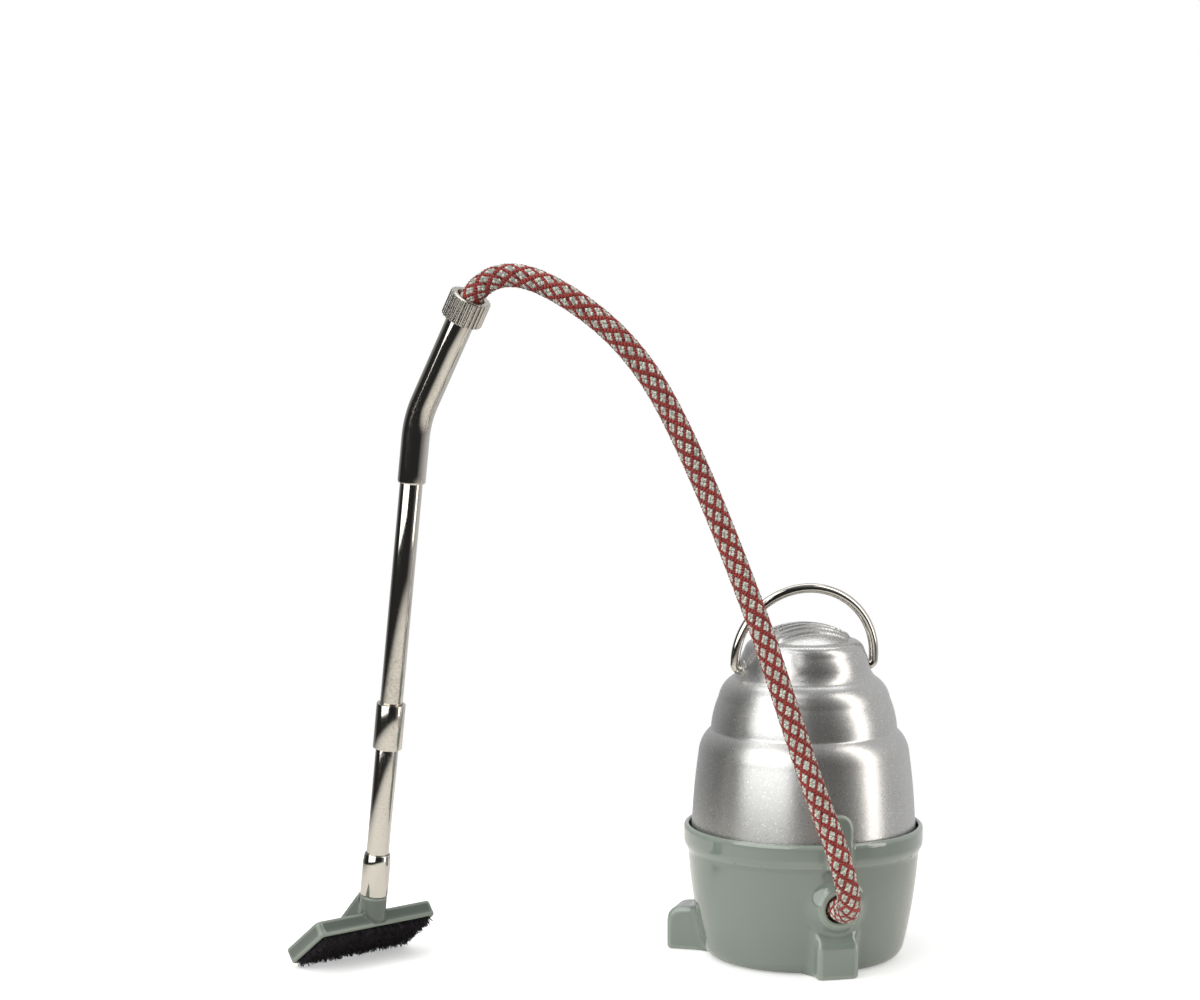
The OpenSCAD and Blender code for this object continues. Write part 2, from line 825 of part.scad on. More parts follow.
module neck() {
  root = neck_d;
  difference() {
    translate([0, -neck_shift, 0])
      rotate([neck_tilt, 0, 0])
        translate([0, 0, -root])
          cylinder(d = neck_d, h = root + neck_l);
    translate([-neck_d, -head_w, -head_t - head_w])
      cube([2 * neck_d, 2 * head_w, head_w]);
  }
}

module fairing() {
  front_y = -neck_shift - neck_l * sin(neck_tilt) + neck_d / 2 * cos(neck_tilt);
  front_z = neck_l * cos(neck_tilt) + neck_d / 2 * sin(neck_tilt);
  rear_y = head_w / 2 - fairing_step;
  rotate([90, 0, 90])
    translate([0, 0, -fairing_w / 2])
      linear_extrude(fairing_w)
        polygon([
          [-neck_shift, -head_t / 2], [front_y, front_z], [rear_y - fairing_rear_h, fairing_rear_h],
          [rear_y, 0], [rear_y, -head_t / 2]
        ]);
}

module spigot() {
  translate([0, 0, neck_l - PAST])
    cylinder(d = spigot_d, h = spigot_l + PAST);
}

strip_l = head_l - 2 * strip_inset;
strip_w = head_w - 2 * strip_inset;

module brush_head() {
  color(ENAMEL) {
    at_head()
      difference() {
        union() {
          head_plate();
          neck();
          fairing();
        }
        translate([-strip_l / 2 - backing_clear, -strip_w / 2 - backing_clear, -head_t - PAST])
          cube([strip_l + 2 * backing_clear, strip_w + 2 * backing_clear, backing_t + PAST]);
      }
    at_wand()
      spigot();
  }
}

// Bristles: one skin in which each cell of a grid carries a slanting four-sided strand
module bristle_strip() {
  cols = strand_cols;
  rows = strand_rows;
  cell = [strip_l / cols, strip_w / rows];
  square_4 = [[-1, -1], [1, -1], [1, 1], [-1, 1]];
  grid = [for (j = [0 : rows], i = [0 : cols])
    [i * cell.x - strip_l / 2, j * cell.y - strip_w / 2, -head_t]];
  strands = [for (j = [0 : rows - 1], i = [0 : cols - 1], level = [0, 1], c = square_4)
    let (
      middle = [(i + 0.5) * cell.x - strip_l / 2, (j + 0.5) * cell.y - strip_w / 2],
      tip = level * strand_lean * [sin(97 * i + 61 * j), cos(53 * i + 139 * j)],
      thick = (level == 0 ? strand_thick : strand_tip) / 2,
      short = j == rows - 1 ? 0 : strand_short * pow(sin(71 * i + 113 * j), 2),
      drop = bristle_out - short
    )
    [middle.x + tip.x + thick * c.x, middle.y + tip.y + thick * c.y, -head_t - level * drop]];
  back = [for (c = square_4) [c.x * strip_l / 2, c.y * strip_w / 2, -head_t + backing_t]];
  base = len(grid);
  back_at = base + len(strands);
  cell_faces = [for (j = [0 : rows - 1], i = [0 : cols - 1])
    let (
      near = j * (cols + 1) + i,
      far = near + cols + 1,
      g = [near, near + 1, far + 1, far],
      s = base + 2 * len(square_4) * (j * cols + i)
    )
    each concat(
      [for (k = [0 : 3])
        let (n = (k + 1) % 4)
        each [[g[k], g[n], s + k], [g[n], s + n, s + k]]],
      [for (k = [0 : 3])
        let (n = (k + 1) % 4, t = s + 4)
        each [[s + k, s + n, t + k], [s + n, t + n, t + k]]],
      [[s + 4, s + 5, s + 6], [s + 4, s + 6, s + 7]]
    )];
  corner = [0, cols, rows * (cols + 1) + cols, rows * (cols + 1)];
  edge = [
    [for (i = [0 : cols]) i],
    [for (j = [0 : rows]) j * (cols + 1) + cols],
    [for (i = [cols : -1 : 0]) rows * (cols + 1) + i],
    [for (j = [rows : -1 : 0]) j * (cols + 1)]
  ];
  side_faces = [for (k = [0 : 3])
    let (n = (k + 1) % 4)
    each concat(
      [for (m = [0 : len(edge[k]) - 2]) [edge[k][m + 1], edge[k][m], back_at + k]],
      [[corner[n], back_at + k, back_at + n]]
    )];
  back_faces = [[back_at, back_at + 2, back_at + 1], [back_at, back_at + 3, back_at + 2]];
  color(PILE)
    at_head()
      polyhedron(concat(grid, strands, back), concat(cell_faces, side_faces, back_faces));
}

base_tub();
dome_cover();
bail_handle();
hose_ferrule();
hose();
hose_collar();
coupling_nut();
handle_tube();
wand_tube_upper();
wand_sleeve();
wand_tube_lower();
wand_socket();
brush_head();
bristle_strip();
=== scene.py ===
# %% [markdown]
# A toy canister vacuum cleaner, 11 cm tall with its hose. It is a cast and enamelled tub, a silver painted
# cover with a wire bail, a braided hose, and a nickel plated wand on a small brush. The solids are
# already packed, so this lesson loads them as a fixed frame and dresses each one with the softer edges,
# the braid and the finish of the real toy.

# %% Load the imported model
import math

import bpy
import numpy as np
from mathutils import Matrix, Vector


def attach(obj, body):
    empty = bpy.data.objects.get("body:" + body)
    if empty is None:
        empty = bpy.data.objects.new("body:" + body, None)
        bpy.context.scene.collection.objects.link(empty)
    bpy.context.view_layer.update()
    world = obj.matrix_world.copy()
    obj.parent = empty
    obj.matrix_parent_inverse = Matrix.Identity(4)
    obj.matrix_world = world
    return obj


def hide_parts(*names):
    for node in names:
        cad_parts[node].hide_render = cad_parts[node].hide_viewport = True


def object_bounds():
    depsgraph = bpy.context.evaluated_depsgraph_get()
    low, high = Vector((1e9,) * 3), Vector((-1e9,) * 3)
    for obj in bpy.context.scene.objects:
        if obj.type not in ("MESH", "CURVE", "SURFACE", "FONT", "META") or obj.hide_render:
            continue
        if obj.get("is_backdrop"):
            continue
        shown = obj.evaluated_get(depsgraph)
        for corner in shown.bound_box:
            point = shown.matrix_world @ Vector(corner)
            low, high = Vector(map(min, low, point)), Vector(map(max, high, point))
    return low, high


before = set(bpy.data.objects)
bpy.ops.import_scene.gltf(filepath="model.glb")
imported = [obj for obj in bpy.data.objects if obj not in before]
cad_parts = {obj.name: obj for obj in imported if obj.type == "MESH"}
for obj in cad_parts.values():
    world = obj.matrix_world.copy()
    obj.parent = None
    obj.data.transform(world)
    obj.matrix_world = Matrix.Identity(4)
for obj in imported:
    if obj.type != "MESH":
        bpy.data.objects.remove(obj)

cad_box = [list(corner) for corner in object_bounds()]
MM = 0.001

# %% [markdown]
# The camera comes first, because everything after it is seen through it. The toy was photographed from
# in front and a little above with a long lens, so a 99 mm lens half a metre away gives the same mild
# perspective. The toy is drawn in millimetres below, and one factor turns each finished mesh to metres.

# %% Camera
LENS_MM = 99
SENSOR_MM = 36
LOOK_DOWN = 5.8
CAMERA_PLACE = (-32.143, -513.870, 124.392)
camera_data = bpy.data.cameras.new("camera")
camera_data.sensor_width = SENSOR_MM
camera_data.lens = LENS_MM
camera = bpy.data.objects.new("camera", camera_data)
bpy.context.collection.objects.link(camera)
camera.location = Vector(CAMERA_PLACE) * MM
camera.rotation_euler = (math.radians(90 - LOOK_DOWN), 0, 0)
bpy.context.scene.camera = camera
print("camera", [round(c, 3) for c in camera.location])

# %% [markdown]
# Each part of the toy stands at its own slant, so each is drawn upright in a frame of its own and turned
# into place at the end. The canister is turned a little to the right. The brush leans on its bristles,
# the wand leans with its neck, and the handle bends off the wand's axis.

# %% Frames of the parts
# Angles in degrees and places in millimetres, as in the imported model
CANISTER_TURN = 14
HEAD_PLACE = (-70.2, -4, 5.47091)
HEAD_TURN = 43
HEAD_LEAN = -36.5
NECK_BACK = 4.4
NECK_TILT = 45
HANDLE_START = 75.9
HANDLE_TURN = 15
HANDLE_BEND = 21
HANDLE_BEND_R = 16


def turned(axis, degrees):
    """Turn about one axis, in degrees."""
    return Matrix.Rotation(math.radians(degrees), 4, axis)


def moved(x, y, z):
    """Move in millimetres."""
    return Matrix.Translation((x, y, z))


CANISTER = turned("Z", CANISTER_TURN)
HEAD = moved(*HEAD_PLACE) @ turned("Z", HEAD_TURN) @ turned("X", HEAD_LEAN)
WAND = HEAD @ moved(0, -NECK_BACK, 0) @ turned("X", NECK_TILT)
BEND = WAND @ moved(0, 0, HANDLE_START) @ turned("Z", HANDLE_TURN)
HANDLE_TOP = BEND @ moved(0, -HANDLE_BEND_R, 0) @ turned("X", HANDLE_BEND) @ moved(0, HANDLE_BEND_R, 0)
wand_lean = math.degrees(WAND.to_3x3().col[2].angle(Vector((0, 0, 1))))
print("wand leans", round(wand_lean, 1), "degrees")

# %% [markdown]
# Three small functions write every material. One turns an sRGB hex colour to the linear values that a
# shader works in. One adds a node, sets it and links its inputs, so that a finish reads as a list of what
# goes into it. The last starts a material. A Mix node of colours takes its share at input 0 and its
# colours at 6 and 7.

# %% Colour and node helpers
def linear(code):
    """Linear colour of an sRGB hex code."""
    shares = [int(code[i:i + 2], 16) / 255 for i in (1, 3, 5)]
    return tuple(s / 12.92 if s <= 0.04045 else ((s + 0.055) / 1.055) ** 2.4 for s in shares) + (1,)


def add_node(tree, kind, inputs=None, **settings):
    """Add a node with its settings; an input is a value, an output, or a node for its first live output."""
    node = tree.nodes.new(kind)
    for name, value in settings.items():
        setattr(node, name, value)
    for key, value in (inputs or {}).items():
        if isinstance(value, bpy.types.Node):
            value = next(output for output in value.outputs if output.enabled)
        if isinstance(value, bpy.types.NodeSocket):
            tree.links.new(value, node.inputs[key])
        else:
            node.inputs[key].default_value = value
    return node


def new_finish(name):
    """A material, its tree, and the piece's own coordinates for patterns to lie on."""
    finish = bpy.data.materials.new(name)
    finish.use_nodes = True
    tree = finish.node_tree
    tree.nodes.clear()
    return finish, tree, add_node(tree, "ShaderNodeTexCoord").outputs["Object"]


print("grey 50% in linear light:", round(linear("#808080")[0], 3))

# %% [markdown]
# The hose is a flexible tube under a braid of cotton yarns, one red and two pale by turns in each
# direction. Cotton is dull with a soft edge sheen. Each yarn is a twist of fine threads, which shows as
# ridges, so a wave along the yarn drives the bump, and the colour is painted darker in the grooves between
# the ridges as painted shade. The colour is also painted darker where a yarn dives under another, as
# painted shade. Both read an attribute that the braid writes on its own mesh: the way along the yarn, and
# how high it lies.

# %% Yarn finishes
THREAD_TWIST_MM = 0.34
TWIST_DEPTH_MM = 0.04
DYE_PATCH_MM = 1.1


def yarn_finish(name, dark_dye_and_shade_hex, full_dye_unshaded_hex):
    """Dyed cotton yarn: ridged by its twist, a little uneven in its dye, with a soft sheen, and painted
    darker in its grooves and under crossings as painted shade.
    """
    finish, tree, place = new_finish(name)
    thread = add_node(tree, "ShaderNodeAttribute", attribute_name="thread")
    parts = add_node(tree, "ShaderNodeSeparateXYZ", {0: thread.outputs["Vector"]}).outputs
    twists = add_node(tree, "ShaderNodeMath", {
        0: parts["X"], 1: 1 / (THREAD_TWIST_MM * MM)}, operation="MULTIPLY")
    phase = add_node(tree, "ShaderNodeMath", {0: twists, 1: 2 * math.pi}, operation="MULTIPLY")
    wave = add_node(tree, "ShaderNodeMath", {0: phase}, operation="SINE")
    ridge = add_node(tree, "ShaderNodeMapRange", {"Value": wave, "From Min": -1, "From Max": 1})
    # Dye takes unevenly over a millimetre or so of yarn
    dye = add_node(tree, "ShaderNodeTexNoise", {
        "Vector": place, "Scale": 1 / (DYE_PATCH_MM * MM), "Detail": 3})
    # Painted shade: the colour is darker in the grooves between the twist's ridges
    shade = add_node(tree, "ShaderNodeMath", {0: ridge, 1: dye}, operation="MULTIPLY")
    # Painted shade: the colour is darker where the yarn lies low, under a crossing yarn
    high = add_node(tree, "ShaderNodeMapRange", {"Value": parts["Y"], "From Min": -0.5, "From Max": 0.7})
    tone = add_node(tree, "ShaderNodeMapRange", {"Value": shade, "From Min": -0.1, "From Max": 0.45})
    # The dye patches and the painted shade together set how far the colour goes to its dark end
    dye_and_painted_shade = add_node(tree, "ShaderNodeMath", {0: tone, 1: high}, operation="MULTIPLY")
    colour = add_node(tree, "ShaderNodeMix", {
        0: dye_and_painted_shade, 6: linear(dark_dye_and_shade_hex), 7: linear(full_dye_unshaded_hex)}, data_type="RGBA")
    bump = add_node(tree, "ShaderNodeBump", {
        "Height": ridge, "Distance": TWIST_DEPTH_MM * MM, "Strength": 0.8})
    shader = add_node(tree, "ShaderNodeBsdfPrincipled", {
        "Base Color": colour, "Roughness": 0.88, "Specular IOR Level": 0.25, "Sheen Weight": 0.25,
        "Sheen Roughness": 0.4, "Normal": bump})
    add_node(tree, "ShaderNodeOutputMaterial", {"Surface": shader})
    return finish


# Madder red cotton, and undyed cotton gone grey green; each runs from its painted shade and thin dye to its
# full colour
red_cotton = yarn_finish("cotton_yarn_dyed_red", "#662220", "#b24e48")
pale_cotton = yarn_finish("cotton_yarn_undyed", "#a4a69c", "#ebebe0")

# The tube under the braid is seen only between the yarns, and its dark red is both the rubber's colour and
# painted shade in those gaps
RUBBER_BLOOM_MM = 0.8
tube_rubber, rubber_tree, rubber_place = new_finish("rubber_tube_extruded")
rubber_bloom = add_node(rubber_tree, "ShaderNodeTexNoise", {
    "Vector": rubber_place, "Scale": 1 / (RUBBER_BLOOM_MM * MM), "Detail": 2})
rubber_colour = add_node(rubber_tree, "ShaderNodeMix", {
    0: rubber_bloom, 6: linear("#3a1714"), 7: linear("#5c2723")}, data_type="RGBA")
rubber_shader = add_node(rubber_tree, "ShaderNodeBsdfPrincipled", {
    "Base Color": rubber_colour, "Roughness": 0.9})
add_node(rubber_tree, "ShaderNodeOutputMaterial", {"Surface": rubber_shader})
print("hose finishes:", red_cotton.name, pale_cotton.name, tube_rubber.name)

# %% [markdown]
# The hose leaves the tub's front boss, turns up at once, leans left past the canister and drops into the
# wand's nut. Its route is a list of points in millimetres, and a cubic spline through them gives one
# smooth curve with no kinks for the yarns to show.

# %% Hose route
HOSE_ROUTE = [
    (3.3, -13.1, 11.1), (4.2, -16.8, 11.1), (5.1, -20.5, 11.3), (5.5, -23.7, 12.6), (5.2, -26.6, 15.2),
    (4.4, -28.4, 18.6), (3.2, -29.4, 22.6), (1, -30, 28.5), (-1, -30, 34), (-3.2, -29.8, 40.5),
    (-5.5, -29.2, 47.5), (-8, -28.4, 55), (-10.6, -27.6, 62), (-13.5, -26.8, 69.5), (-16.6, -26.2, 77),
    (-20, -26, 84.5), (-24, -26, 92), (-28.5, -26, 98), (-33, -26, 102.2), (-38, -25.7, 105.6),
    (-42, -25.1, 107.5), (-45.2, -24.2, 108.1), (-48, -23.2, 107.6), (-50, -22.2, 106.3),
    (-51.2, -21.4, 104.9), (-51.9, -20.9, 103.6), (-52.4, -20.5, 102.5)]
HOSE_STEPS = 400
HOSE_D = 3.6


def spline_through(points, count):
    """Natural cubic spline through the points, spaced by the chords between them."""
    points = np.array(points, dtype=float)
    knots = np.concatenate([[0], np.cumsum(np.linalg.norm(np.diff(points, axis=0), axis=1))])
    gaps = np.diff(knots)[:, None]
    slopes = np.diff(points, axis=0) / gaps
    system = np.eye(len(points))
    bends = np.zeros_like(points)
    for i in range(1, len(points) - 1):
        system[i, i - 1:i + 2] = gaps[i - 1, 0], 2 * (gaps[i - 1, 0] + gaps[i, 0]), gaps[i, 0]
        bends[i] = 6 * (slopes[i] - slopes[i - 1])
    bends = np.linalg.solve(system, bends)
    spots = np.linspace(0, knots[-1], count)
    i = np.clip(np.searchsorted(knots, spots, side="right") - 1, 0, len(points) - 2)
    back = (spots - knots[i])[:, None]
    ahead = (knots[i + 1] - spots)[:, None]
    return ((bends[i] * ahead ** 3 + bends[i + 1] * back ** 3) / (6 * gaps[i])
            + (points[i] / gaps[i] - bends[i] * gaps[i] / 6) * ahead
            + (points[i + 1] / gaps[i] - bends[i + 1] * gaps[i] / 6) * back)


hose_path = spline_through(HOSE_ROUTE, HOSE_STEPS)

# %% [markdown]
# Tubes, wires and turned pieces are all skins through a row of rings. One function makes the skin, one
# spins a profile about the Z axis, and one carries a ring along a path without twisting it.

# %% Skins, spins and sweeps
def loft(rings, sides, closed=False):
    """Points and faces of a skin through rings of (centre, across, up, radius)."""
    turns = np.linspace(0, 2 * math.pi, sides, endpoint=False)[:, None]
    points = np.concatenate([
        np.array(centre) + radius * (np.cos(turns) * np.array(across) + np.sin(turns) * np.array(up))
        for centre, across, up, radius in rings])
    faces = []
    for i in range(len(rings) if closed else len(rings) - 1):
        low, high = i * sides, (i + 1) % len(rings) * sides
        faces += [(low + j, low + (j + 1) % sides, high + (j + 1) % sides, high + j) for j in range(sides)]
    if not closed:
        faces.append(tuple(range(sides))[::-1])
        faces.append(tuple(range(len(points) - sides, len(points))))
    return points, faces


def spin(profile, sides, closed=True):
    """Skin of a profile of (radius, height) spun about Z; a closed one runs up its outside."""
    return loft([((0, 0, z), (1, 0, 0), (0, 1, 0), r) for r, z in profile], sides, closed)


def carried_rings(path, radii):
    """Rings of the radii along a path, each turned no more than the path turns."""
    path = np.array(path, dtype=float)
    ways = np.gradient(path, axis=0)
    ways /= np.linalg.norm(ways, axis=1)[:, None]
    # Any direction that no path here starts along will do for the first ring
    across = np.cross(ways[0], (0.31, 0.87, 0.38))
    rings = []
    for centre, way, radius in zip(path, ways, radii):
        across = across - way * across.dot(way)
        across /= np.linalg.norm(across)
        rings.append((centre, across, np.cross(way, across), radius))
    return rings


TUBE_R = 1.36
hose_skin = loft(carried_rings(hose_path, [TUBE_R] * len(hose_path)), sides=20)
print("hose tube skin of", len(hose_skin[1]), "faces")

# %% [markdown]
# One function turns a skin to a mesh in its place, shaded smooth with its true corners kept sharp. The
# next gives a mesh its finish and a body to ride on, and every piece goes through it, so none is left
# without a body. The first is the hose's rubber tube.

# %% Meshes and pieces
CREASE = 40


def to_mesh(name, points, faces, place=Matrix(), crease=CREASE):
    """Mesh in metres of points in millimetres, put in its place, with corners past the crease sharp."""
    mesh = bpy.data.meshes.new(name)
    turn, shift = np.array(place.to_3x3()), np.array(place.translation)
    mesh.from_pydata(((np.array(points) @ turn.T + shift) * MM).tolist(), [], faces)
    mesh.shade_smooth()
    mesh.set_sharp_from_angle(angle=math.radians(crease))
    return mesh


def new_piece(mesh, finish, body, slot, *nodes):
    """A finished piece that rides on a body and stands for the named solids."""
    mesh.materials.clear()
    mesh.materials.append(finish)
    piece = bpy.data.objects.new(mesh.name, mesh)
    bpy.context.collection.objects.link(piece)
    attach(piece, body)
    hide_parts(*nodes)
    spots = np.array([v.co for v in mesh.vertices]) / MM
    print(piece.name, len(mesh.polygons), "faces", spots.min(axis=0).round(2), spots.max(axis=0).round(2))
    return piece


hose_tube = new_piece(to_mesh("hose_tube", *hose_skin), tube_rubber, "canister", "braided_cord", "hose")

# %% [markdown]
# The braid, the nut's ribs and the bristles repeat by a rule, so Geometry Nodes make them. Two functions
# do what every tree needs. One starts a tree with a named input for each size. The other runs it on a
# mesh and keeps the result as a plain mesh, because instances are lost when the toy is exported.

# %% Tree helpers
def new_tree(name, sizes):
    """A geometry tree with a geometry input and output, and one named input for each size."""
    tree = bpy.data.node_groups.new(name, "GeometryNodeTree")
    tree.interface.new_socket("Geometry", in_out="INPUT", socket_type="NodeSocketGeometry")
    tree.interface.new_socket("Geometry", in_out="OUTPUT", socket_type="NodeSocketGeometry")
    for label, kind in sizes.items():
        tree.interface.new_socket(label, in_out="INPUT", socket_type="NodeSocket" + kind)
    return tree, add_node(tree, "NodeGroupInput").outputs


def run_tree(tree, source, sizes):
    """Plain mesh of what a tree makes of a mesh, with its sizes set by socket."""
    holder = bpy.data.objects.new(tree.name, source)
    bpy.context.collection.objects.link(holder)
    modifier = holder.modifiers.new("tree", "NODES")
    modifier.node_group = tree
    for socket in tree.interface.items_tree:
        if socket.name in sizes:
            modifier[socket.identifier] = sizes[socket.name]
    graph = bpy.context.evaluated_depsgraph_get()
    mesh = bpy.data.meshes.new_from_object(
        holder.evaluated_get(graph), preserve_all_data_layers=True, depsgraph=graph)
    holder.modifiers.remove(modifier)
    bpy.data.objects.remove(holder)
    mesh.name = tree.name
    return mesh


hose_line = bpy.data.meshes.new("hose_line")
hose_line.from_pydata((hose_path * MM).tolist(), [(i, i + 1) for i in range(HOSE_STEPS - 1)], [])
print("hose line of", len(hose_line.edges), "edges for the yarns to follow")

# %% [markdown]
# The braid is twenty one fine yarns winding steeply to the right and twelve stout ones winding flatter to
# the left. Where a red one meets a pale one the red goes over, which draws a red net, and like yarns go
# over and under by turns. Drawn by hand that would be thousands of crossings, but it is one rule. At each
# of its points a yarn counts the other way's yarns that it has crossed, and the nearest says how high it
# lies.

# %% Over and under
RED_EVERY = 3


def over_or_under(tree, given, number, start, along, way, red):
    """How high a yarn lies at each of its points, from 1 over the yarn that it meets to -1 under it."""
    closing = add_node(tree, "ShaderNodeMath", {0: along, 1: given["Meeting"]}, operation="MULTIPLY")
    closed = add_node(tree, "ShaderNodeMath", {0: closing, 1: way, 2: start}, operation="MULTIPLY_ADD")
    count = add_node(tree, "ShaderNodeMath", {0: closed, 1: given["Others"]}, operation="MULTIPLY")
    nearest = add_node(tree, "ShaderNodeMath", {0: count}, operation="ROUND")
    past = add_node(tree, "ShaderNodeMath", {0: count, 1: nearest}, operation="SUBTRACT")
    half_turn = add_node(tree, "ShaderNodeMath", {0: past, 1: math.pi}, operation="MULTIPLY")
    crest = add_node(tree, "ShaderNodeMath", {0: half_turn}, operation="COSINE")
    met = add_node(tree, "ShaderNodeMath", {0: nearest, 1: given["Others"]}, operation="FLOORED_MODULO")
    met_third = add_node(tree, "ShaderNodeMath", {0: met, 1: RED_EVERY}, operation="FLOORED_MODULO")
    met_red = add_node(tree, "ShaderNodeMath", {0: met_third, 1: 0.5}, operation="LESS_THAN")
    pair = add_node(tree, "ShaderNodeMath", {0: met, 1: number}, operation="ADD")
    odd = add_node(tree, "ShaderNodeMath", {0: pair, 1: 2}, operation="FLOORED_MODULO")
    by_turns = add_node(tree, "ShaderNodeMath", {0: odd, 1: -2 * way, 2: way}, operation="MULTIPLY_ADD")
    alike = met_red
    if not red:
        alike = add_node(tree, "ShaderNodeMath", {0: 1, 1: met_red}, operation="SUBTRACT")
    level = add_node(tree, "ShaderNodeMix", {0: alike, 2: 1 if red else -1, 3: by_turns}, data_type="FLOAT")
    return add_node(tree, "ShaderNodeMath", {0: level, 1: crest}, operation="MULTIPLY")


print("one yarn in", RED_EVERY, "is red")

# %% [markdown]
# A straight line is copied once for each yarn, and every point of it is thrown onto the hose's curve at
# its own angle and height. The yarn's flat section then turns with the hose, so that it lies on it like a
# strap, and each point keeps its way along the hose and its height for the finish to read.

# %% Braid tree
def braid_tree(name, way, red, finish):
    """Yarns of one colour and one way of winding, laid over and under the other way's."""
    tree, given = new_tree(name, {
        "Yarns": "Int", "Others": "Int", "Points": "Int", "Lead": "Float", "Meeting": "Float",
        "Middle": "Float", "Rise": "Float", "Width": "Float", "Thickness": "Float"})
    path = add_node(tree, "GeometryNodeMeshToCurve", {"Mesh": given["Geometry"]})
    length = add_node(tree, "GeometryNodeCurveLength", {0: path})
    line = add_node(tree, "GeometryNodeCurvePrimitiveLine", {"End": (1, 0, 0)})
    fine = add_node(tree, "GeometryNodeResampleCurve", {"Curve": line, "Count": given["Points"]})
    copies = add_node(tree, "GeometryNodeDuplicateElements", {
        "Geometry": fine, "Amount": given["Yarns"]}, domain="SPLINE")
    number = copies.outputs["Duplicate Index"]
    third = add_node(tree, "ShaderNodeMath", {0: number, 1: RED_EVERY}, operation="MODULO")
    chosen = add_node(tree, "ShaderNodeMath", {0: third, 1: 0.5},
                      operation="LESS_THAN" if red else "GREATER_THAN")
    kept = add_node(tree, "GeometryNodeSeparateGeometry", {
        "Geometry": copies, "Selection": chosen}, domain="CURVE")
    share = add_node(tree, "GeometryNodeSplineParameter").outputs["Factor"]
    sample = add_node(tree, "GeometryNodeSampleCurve", {"Curves": path, "Factor": share}, mode="FACTOR")
    spot = sample.outputs
    across = add_node(tree, "ShaderNodeVectorMath", {
        0: spot["Tangent"], 1: spot["Normal"]}, operation="CROSS_PRODUCT")
    along = add_node(tree, "ShaderNodeMath", {0: share, 1: length}, operation="MULTIPLY")
    wound = add_node(tree, "ShaderNodeMath", {0: along, 1: given["Lead"]}, operation="DIVIDE")
    start = add_node(tree, "ShaderNodeMath", {0: number, 1: given["Yarns"]}, operation="DIVIDE")
    signed = add_node(tree, "ShaderNodeMath", {0: wound, 1: way, 2: start}, operation="MULTIPLY_ADD")
    angle = add_node(tree, "ShaderNodeMath", {0: signed, 1: 2 * math.pi}, operation="MULTIPLY")
    swing = over_or_under(tree, given, number, start, along, way, red)
    radius = add_node(tree, "ShaderNodeMath", {
        0: swing, 1: given["Rise"], 2: given["Middle"]}, operation="MULTIPLY_ADD")
    cosine = add_node(tree, "ShaderNodeMath", {0: angle}, operation="COSINE")
    sine = add_node(tree, "ShaderNodeMath", {0: angle}, operation="SINE")
    out_a = add_node(tree, "ShaderNodeVectorMath", {0: spot["Normal"], "Scale": cosine}, operation="SCALE")
    out_b = add_node(tree, "ShaderNodeVectorMath", {0: across, "Scale": sine}, operation="SCALE")
    outward = add_node(tree, "ShaderNodeVectorMath", {0: out_a, 1: out_b}, operation="ADD")
    offset = add_node(tree, "ShaderNodeVectorMath", {0: outward, "Scale": radius}, operation="SCALE")
    place = add_node(tree, "ShaderNodeVectorMath", {0: spot["Position"], 1: offset}, operation="ADD")
    laid = add_node(tree, "GeometryNodeSetPosition", {"Geometry": kept, "Position": place})
    facing = add_node(tree, "GeometryNodeSetCurveNormal", {"Curve": laid, "Normal": outward}, mode="FREE")
    marks = add_node(tree, "ShaderNodeCombineXYZ", {"X": along, "Y": swing})
    marked = add_node(tree, "GeometryNodeStoreNamedAttribute", {
        "Geometry": facing, "Name": "thread", "Value": marks}, data_type="FLOAT_VECTOR")
    round_yarn = add_node(tree, "GeometryNodeCurvePrimitiveCircle", {"Resolution": 6, "Radius": 0.5})
    flat = add_node(tree, "ShaderNodeCombineXYZ", {"X": given["Thickness"], "Y": given["Width"], "Z": 1})
    flat_yarn = add_node(tree, "GeometryNodeTransform", {"Geometry": round_yarn, "Scale": flat})
    skin = add_node(tree, "GeometryNodeCurveToMesh", {
        "Curve": marked, "Profile Curve": flat_yarn, "Fill Caps": True})
    real = add_node(tree, "GeometryNodeRealizeInstances", {0: skin})
    done = add_node(tree, "GeometryNodeSetMaterial", {"Geometry": real, "Material": finish})
    add_node(tree, "NodeGroupOutput", {0: done})
    return tree


# The red net repeats every 2.79 mm along the hose, with seven red yarns one way and four the other
NET_MM = 2.79
RIGHT_REDS, LEFT_REDS = 7, 4
RIGHT_LEAD, LEFT_LEAD = RIGHT_REDS * NET_MM * MM, LEFT_REDS * NET_MM * MM

# %% [markdown]
# Four runs of the tree give the red and the pale yarns of each way.

# %% Braid and hose
YARN_THICK = 0.34
YARN_RISE = 0.12
BRAID = {"Middle": (HOSE_D / 2 - YARN_THICK / 2 - YARN_RISE) * MM, "Rise": YARN_RISE * MM,
         "Thickness": YARN_THICK * MM, "Meeting": 1 / RIGHT_LEAD + 1 / LEFT_LEAD}
RIGHT_YARNS, LEFT_YARNS = RED_EVERY * RIGHT_REDS, RED_EVERY * LEFT_REDS
# Each way of winding, the room that one yarn has beside the next, and its counts
WINDINGS = {
    "right": (1, 0.47 * MM, {
        "Yarns": RIGHT_YARNS, "Others": LEFT_YARNS, "Points": 960, "Lead": RIGHT_LEAD}),
    "left": (-1, 0.66 * MM, {
        "Yarns": LEFT_YARNS, "Others": RIGHT_YARNS, "Points": 1500, "Lead": LEFT_LEAD})}
for colour, finish, fullness in (("red", red_cotton, 1.12), ("pale", pale_cotton, 0.97)):
    for side, (way, spacing, winding) in WINDINGS.items():
        yarn_tree = braid_tree(colour + "_yarns_" + side, way, colour == "red", finish)
        yarn_mesh = run_tree(yarn_tree, hose_line, {**BRAID, **winding, "Width": fullness * spacing})
        yarn_mesh.shade_smooth()
        new_piece(yarn_mesh, finish, "canister", "braided_cord")

